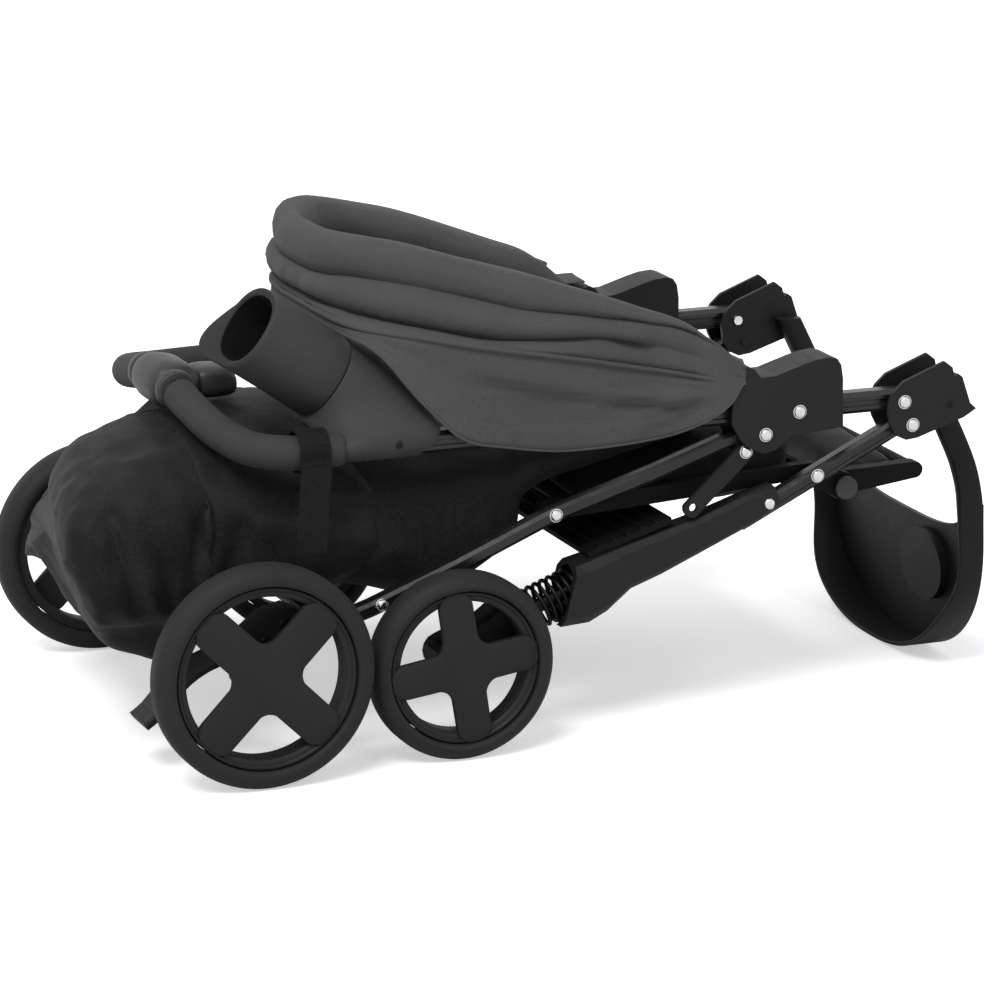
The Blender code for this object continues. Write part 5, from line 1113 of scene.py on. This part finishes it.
# Black cloth: the bag of the seat back, the back rest, the seat and the calf rest
def loft(stations, around, along, roundness, side_low=None):
    """Points over superellipse sections run through (x, low, high, half width) stations."""
    path = spline([row[:3] for row in stations], along)
    wide = spline([(row[3], 0.0, 0.0) for row in stations], along)
    power = 2.0 / roundness
    rings = []
    for spot, width in zip(path, wide):
        ring = []
        for c, s in circle(around):
            y = width.x * signed_power(c, power)
            floor = spot.y
            if side_low is not None and floor < side_low:
                floor += (side_low - floor) * eased((abs(y) - 0.080) / 0.040)
            share = signed_power(s, power)
            ring.append(at(spot.x, y, 0.5 * (floor + spot.z) + 0.5 * (spot.z - floor) * share))
        rings.append(ring)
    return skin(rings)


def activate(piece):
    """Makes one object the selected, active one."""
    bpy.ops.object.select_all(action="DESELECT")
    piece.select_set(True)
    bpy.context.view_layer.objects.active = piece


# Cloth simulation that swells the stuffed pads
PUFF_FRAMES = 20
PUFF_PRESSURE = 4.0
PUFF_QUALITY = 5
TENSION_STIFFNESS = 12.0
BENDING_STIFFNESS = 0.4


def mesh_points(mesh):
    """A mesh's points as an array."""
    return np.array([v.co for v in mesh.vertices], float)


def puff(piece, voxel, cap):
    """Swells a closed pad by cloth simulation, with each point's travel capped."""
    remesh = piece.modifiers.new("remesh", "REMESH")
    remesh.mode = "VOXEL"
    remesh.voxel_size = voxel
    activate(piece)
    bpy.ops.object.modifier_apply(modifier=remesh.name)
    start = mesh_points(piece.data)
    cloth = piece.modifiers.new("cloth", "CLOTH")
    settings = cloth.settings
    settings.use_pressure = True
    settings.uniform_pressure_force = PUFF_PRESSURE
    settings.effector_weights.gravity = 0.0
    settings.quality = PUFF_QUALITY
    settings.tension_stiffness = TENSION_STIFFNESS
    settings.bending_stiffness = BENDING_STIFFNESS
    cloth.point_cache.frame_start = 1
    cloth.point_cache.frame_end = PUFF_FRAMES
    scene = bpy.context.scene
    for step in range(1, PUFF_FRAMES + 1):
        scene.frame_set(step)
    activate(piece)
    bpy.ops.object.modifier_apply(modifier=cloth.name)
    scene.frame_set(1)
    moved = mesh_points(piece.data) - start
    length = np.linalg.norm(moved, axis=1, keepdims=True)
    moved *= np.minimum(1.0, cap / np.maximum(length, 1e-9))
    piece.data.vertices.foreach_set("co", (start + moved).ravel())
    piece.data.update()
    smooth = piece.modifiers.new("smooth", "SUBSURF")
    smooth.levels = 1
    smooth.render_levels = 1
    piece.data.shade_smooth()


def crease(piece, lines, depth, width):
    """Presses soft grooves (or raises ridges, where depth is below zero) along routes of points."""
    mesh = piece.data
    points = mesh_points(mesh)
    normals = np.array([v.normal for v in mesh.vertices], float)
    push = np.zeros(len(points))
    for line in lines:
        nearest = np.full(len(points), np.inf)
        for start, end in zip(line, line[1:]):
            start = np.array(start, float)
            along = np.array(end, float) - start
            share = np.clip(((points - start) @ along) / (along @ along), 0.0, 1.0)
            nearest = np.minimum(nearest, np.linalg.norm(points - (start + share[:, None] * along), axis=1))
        push = np.maximum(push, np.exp(-(nearest / width) ** 2))
    points -= normals * (depth * push)[:, None]
    mesh.vertices.foreach_set("co", points.ravel())
    mesh.update()


def rumple(piece, amount, scale, seed, stretch=(1.0, 1.0, 1.0)):
    """Soft folds from smooth noise, along the surface's normals."""
    mesh = piece.data
    moved = []
    for vertex in mesh.vertices:
        spot = Vector((vertex.co.x * stretch[0], vertex.co.y * stretch[1], vertex.co.z * stretch[2])) * scale
        value = noise.noise(spot + Vector((seed, 0.0, 0.0)))
        ridge = 1.0 - 2.0 * abs(noise.noise(spot * 0.7 + Vector((0.0, seed, 4.0))))
        moved.append(vertex.co + vertex.normal * amount * (0.6 * value + 0.4 * ridge - 0.2))
    for vertex, place in zip(mesh.vertices, moved):
        vertex.co = place
    mesh.update()


# Stations of the bag, the back rest, the seat and the calf rest: x, low, high, half width
BAG = [(-0.1075, 0.1900, 0.2360, 0.105), (-0.1020, 0.1650, 0.2500, 0.135), (-0.0900, 0.1180, 0.2620, 0.150),
       (-0.0740, 0.0870, 0.2660, 0.158), (-0.0560, 0.0765, 0.2650, 0.164), (-0.0200, 0.0675, 0.2585, 0.1655),
       (-0.0140, 0.1050, 0.2585, 0.1655), (0.0450, 0.1208, 0.2500, 0.1655), (0.0900, 0.1208, 0.2460, 0.1655),
       (0.1180, 0.1340, 0.2400, 0.163), (0.1307, 0.1420, 0.2300, 0.152)]
BAG_SIDE_LOW = 0.1000
# The bag leans back on its near side, slumps forward on the far one and droops behind
BAG_SKEW = {"near": 0.20, "far": 0.08}
BAG_SAG = 6.0
BAG_DROOP = 0.45
# How far the seat's folded cloth swells up under the handle
BAG_SWELL = [(-0.040, 0.0), (-0.010, 0.0080), (0.040, 0.0175), (0.090, 0.0200), (0.131, 0.0150)]
# Routes of its grooves and ridges: those on both sides, as they run on the left, and the others
SIDE_GROOVES = [((-0.118, 0.150, 0.255), (-0.095, 0.158, 0.190), (-0.069, 0.165, 0.098)),
                ((-0.020, 0.168, 0.230), (-0.034, 0.168, 0.170), (-0.030, 0.168, 0.100)),
                ((0.030, 0.168, 0.215), (0.100, 0.168, 0.205), (0.160, 0.168, 0.200))]
OTHER_GROOVES = [((-0.098, -0.150, 0.215), (-0.060, -0.163, 0.165), (-0.040, -0.166, 0.105)),
                 ((0.010, -0.166, 0.200), (-0.006, -0.167, 0.150), (0.004, -0.166, 0.112)),
                 ((-0.100, 0.020, 0.215), (-0.100, 0.010, 0.170), (-0.070, -0.020, 0.100))]
SIDE_RIDGES = [((-0.100, 0.158, 0.262), (-0.076, 0.163, 0.190), (-0.050, 0.166, 0.098)),
               ((0.020, 0.168, 0.200), (0.090, 0.168, 0.185), (0.125, 0.168, 0.176))]
OTHER_RIDGES = [((-0.102, 0.060, 0.200), (-0.098, 0.060, 0.150), (-0.070, 0.050, 0.090)),
                ((-0.085, -0.158, 0.240), (-0.050, -0.164, 0.200), (-0.020, -0.166, 0.150))]


def routes(lines, side=1.0):
    """Lines of (x, y, z) points as routes on one side."""
    return [[at(x, side * y, z) for x, y, z in line] for line in lines]


def slumped(spot):
    """Where a point of the full bag ends up once the cloth has slumped."""
    skew = BAG_SKEW["far" if spot.y > 0.0 else "near"]
    slant = skew * spot.y * clamped((REAR_AXLE_X - 0.0150 - spot.x) / 0.0700)
    fall = BAG_SAG * max(0.0, spot.y) * max(0.0, REAR_AXLE_X + 0.0280 - spot.x)
    fall += BAG_DROOP * max(0.0, REAR_AXLE_X - 0.0380 - spot.x)
    fall *= clamped((spot.z - 0.1100) / 0.1450)
    swell = interpolate(BAG_SWELL, spot.x - REAR_AXLE_X)
    swell *= max(0.0, 1.0 - (spot.y / 0.150) ** 2) * clamped((spot.z - 0.1800) / 0.0600)
    return Vector((spot.x + slant, spot.y, spot.z - fall + swell))


def build_bag():
    """The black cloth bag behind the seat back, which hangs in heavy folds when it is folded."""
    verts, faces = loft(BAG, 132, 10, 3.2, BAG_SIDE_LOW)
    bag = add_piece("cloth_bag", [slumped(v) for v in verts], faces, BLACK_CLOTH, None, None)
    crease(bag, routes(SIDE_GROOVES) + routes(SIDE_GROOVES, -1.0) + routes(OTHER_GROOVES), 0.0075, 0.0085)
    crease(bag, routes(SIDE_RIDGES) + routes(SIDE_RIDGES, -1.0) + routes(OTHER_RIDGES), -0.0045, 0.0090)
    rumple(bag, 0.0060, 22.0, 3.7, (1.0, 0.7, 0.6))
    rumple(bag, 0.0024, 55.0, 8.1)
    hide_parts("basket")
    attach(bag, "rear_frame")


BACK = [(0.0880, 0.1400, 0.2280, 0.140), (0.0960, 0.1280, 0.2370, 0.156), (0.1180, 0.1220, 0.2405, 0.1612),
        (0.1430, 0.1180, 0.2415, 0.1600), (0.1780, 0.1120, 0.2430, 0.1580),
        (0.2080, 0.1240, 0.2440, 0.1600), (0.2460, 0.1500, 0.2443, 0.1620), (0.2610, 0.1960, 0.2445, 0.1640),
        (0.3100, 0.2125, 0.2470, 0.162), (0.3700, 0.2250, 0.2550, 0.156), (0.4300, 0.2340, 0.2630, 0.148),
        (0.4440, 0.2400, 0.2590, 0.140)]
SEAT = [(0.3030, 0.1860, 0.1950, 0.140), (0.3150, 0.1845, 0.2045, 0.151), (0.3700, 0.1825, 0.2140, 0.1560),
        (0.4300, 0.1730, 0.2280, 0.1560), (0.4700, 0.1750, 0.2390, 0.1560), (0.4920, 0.1805, 0.2420, 0.151),
        (0.5020, 0.1905, 0.2345, 0.141)]
CALF = [(0.5460, 0.1850, 0.1910, 0.132), (0.5520, 0.1760, 0.1985, 0.140), (0.5720, 0.1700, 0.2020, 0.1425),
        (0.5920, 0.1760, 0.1985, 0.140), (0.5980, 0.1850, 0.1910, 0.132)]


def build_pad(name, stations, node, body, cap, folds, voxel):
    """A stuffed cloth pad swollen by simulation, with creases across it."""
    pad = add_piece(name, *loft(stations, 64, 6, 3.6), BLACK_CLOTH, None, None)
    puff(pad, voxel, cap)
    crease(pad, folds, 0.0032, 0.0060)
    rumple(pad, 0.0022, 26.0, 5.5, (1.0, 0.6, 1.0))
    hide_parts(node)
    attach(pad, body)


def build_pads():
    """Back rest, seat and calf rest."""
    profile = ((-0.170, 0.200), (-0.150, 0.248), (0.0, 0.250), (0.150, 0.248), (0.170, 0.200))
    folds = [[at(x, y, z) for y, z in profile] for x in (0.200, 0.275, 0.350)]
    build_pad("back_pad", BACK, "back_rest", "rear_frame", 0.0060, folds, 0.0055)
    folds = [[at(x, y, 0.208) for y in (-0.160, 0.0, 0.160)] for x in (0.365, 0.430)]
    build_pad("seat_cushion", SEAT, "seat_pad", "seat_frame", 0.0040, folds, 0.0050)
    folds = [[at(0.572, y, 0.196) for y in (-0.140, 0.0, 0.140)]]
    build_pad("calf_cushion", CALF, "calf_pad", "calf_rest", 0.0030, folds, 0.0045)


build_bag()
build_pads()


# Webbing loop round the right grip: middle in Y (to the right) and Z, and the loop's radius
STRAP_X = 0.0610
STRAP_CENTRE = (0.1813, 0.2611)
STRAP_RADIUS = 0.0172
# Its tail: Y past the loop's radius, Z
STRAP_TAIL = [(0.0012, 0.2480), (0.0004, 0.2200), (0.0010, 0.1980), (-0.0002, 0.1795)]
# Its flat section with thinner edges
STRAP_SECTION = [(-0.0130, -0.0005), (-0.0122, -0.0008), (0.0122, -0.0008), (0.0130, -0.0005),
                 (0.0130, 0.0005), (0.0122, 0.0008), (-0.0122, 0.0008), (-0.0130, 0.0005)]


def build_strap():
    """A loop of webbing with its tail hanging outside."""
    middle_y, middle_z = STRAP_CENTRE
    route = []
    for i in range(33):
        turn = math.radians(280.0 - 300.0 * i / 32)
        route.append((middle_y + STRAP_RADIUS * math.cos(turn), middle_z + STRAP_RADIUS * math.sin(turn)))
    route += [(middle_y + STRAP_RADIUS + y, z) for y, z in STRAP_TAIL]
    across = Vector((1.0, 0.0, 0.0))
    last = len(route) - 1
    rings = []
    for i, (y, z) in enumerate(route):
        before = route[max(i - 1, 0)]
        after = route[min(i + 1, last)]
        tangent = Vector((0.0, -(after[0] - before[0]), after[1] - before[1])).normalized()
        normal = tangent.cross(across)
        lean = -0.006 * max(0.0, (0.2480 - z) / 0.07)
        spot = at(STRAP_X + lean, -y, z)
        rings.append([spot + across * a + normal * b for a, b in STRAP_SECTION])
    strap = add_piece("webbing_loop", *skin(rings), WEBBING, "handle_frame", 50.0)
    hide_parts("carry_strap")


build_strap()
dress_cad_nodes()


# Floor, light and background
WHITE = (1.0, 1.0, 1.0, 1.0)
FLOOR_HALF = 40.0
FLOOR_TONE = 0.72
FLOOR_GLOW = 0.50
SKY_STRENGTH = 0.54
KEY_STRENGTH = 1.75
KEY_SPREAD = 24.0
KEY_TURN = (32.0, -18.0, -14.0)


def seen_directly(tree):
    """One where the camera, a shiny surface or a clear one sees the shader, and nought for the rest."""
    path = tree.nodes.new("ShaderNodeLightPath").outputs
    seen = combined(tree, path["Is Camera Ray"], path["Is Glossy Ray"], "MAXIMUM")
    return combined(tree, seen, path["Is Transmission Ray"], "MAXIMUM")


def build_stage():
    """A wide pale floor that is white to the camera and keeps the object's shadow."""
    material, tree, shader = new_material("floor_look", (0.80, 0.80, 0.80), 0.9, 0.0, 0.0)
    camera_ray = tree.nodes.new("ShaderNodeLightPath").outputs["Is Camera Ray"]
    feed(tree, shader, {"Base Color": mapped(tree, seen_directly(tree), FLOOR_TONE, 1.0, 0.0, 1.0),
                        "Emission Color": WHITE,
                        "Emission Strength": mapped(tree, camera_ray, 0.0, FLOOR_GLOW, 0.0, 1.0)})
    corners = [(-1.0, -1.0), (1.0, -1.0), (1.0, 1.0), (-1.0, 1.0)]
    mesh = bpy.data.meshes.new("floor")
    mesh.from_pydata([(FLOOR_HALF * x, FLOOR_HALF * y, -0.0004) for x, y in corners], [], [(0, 1, 2, 3)])
    mesh.materials.append(material)
    floor = bpy.data.objects.new("floor", mesh)
    bpy.context.scene.collection.objects.link(floor)


def build_light():
    """Soft studio light: an even sky, and a broad lamp high on the camera's left."""
    world = bpy.data.worlds.new("studio")
    bpy.context.scene.world = world
    world.use_nodes = True
    tree = world.node_tree
    strength = mapped(tree, seen_directly(tree), SKY_STRENGTH, 1.0, 0.0, 1.0)
    feed(tree, tree.nodes["Background"], {"Strength": strength, "Color": WHITE})
    lamp = bpy.data.lights.new("key", "SUN")
    lamp.energy = KEY_STRENGTH
    lamp.angle = math.radians(KEY_SPREAD)
    key = bpy.data.objects.new("key", lamp)
    bpy.context.scene.collection.objects.link(key)
    key.rotation_euler = [math.radians(turn) for turn in KEY_TURN]


dress_cad_nodes()
make_camera()
build_stage()
build_light()
bpy.context.scene.view_settings.view_transform = "Standard"
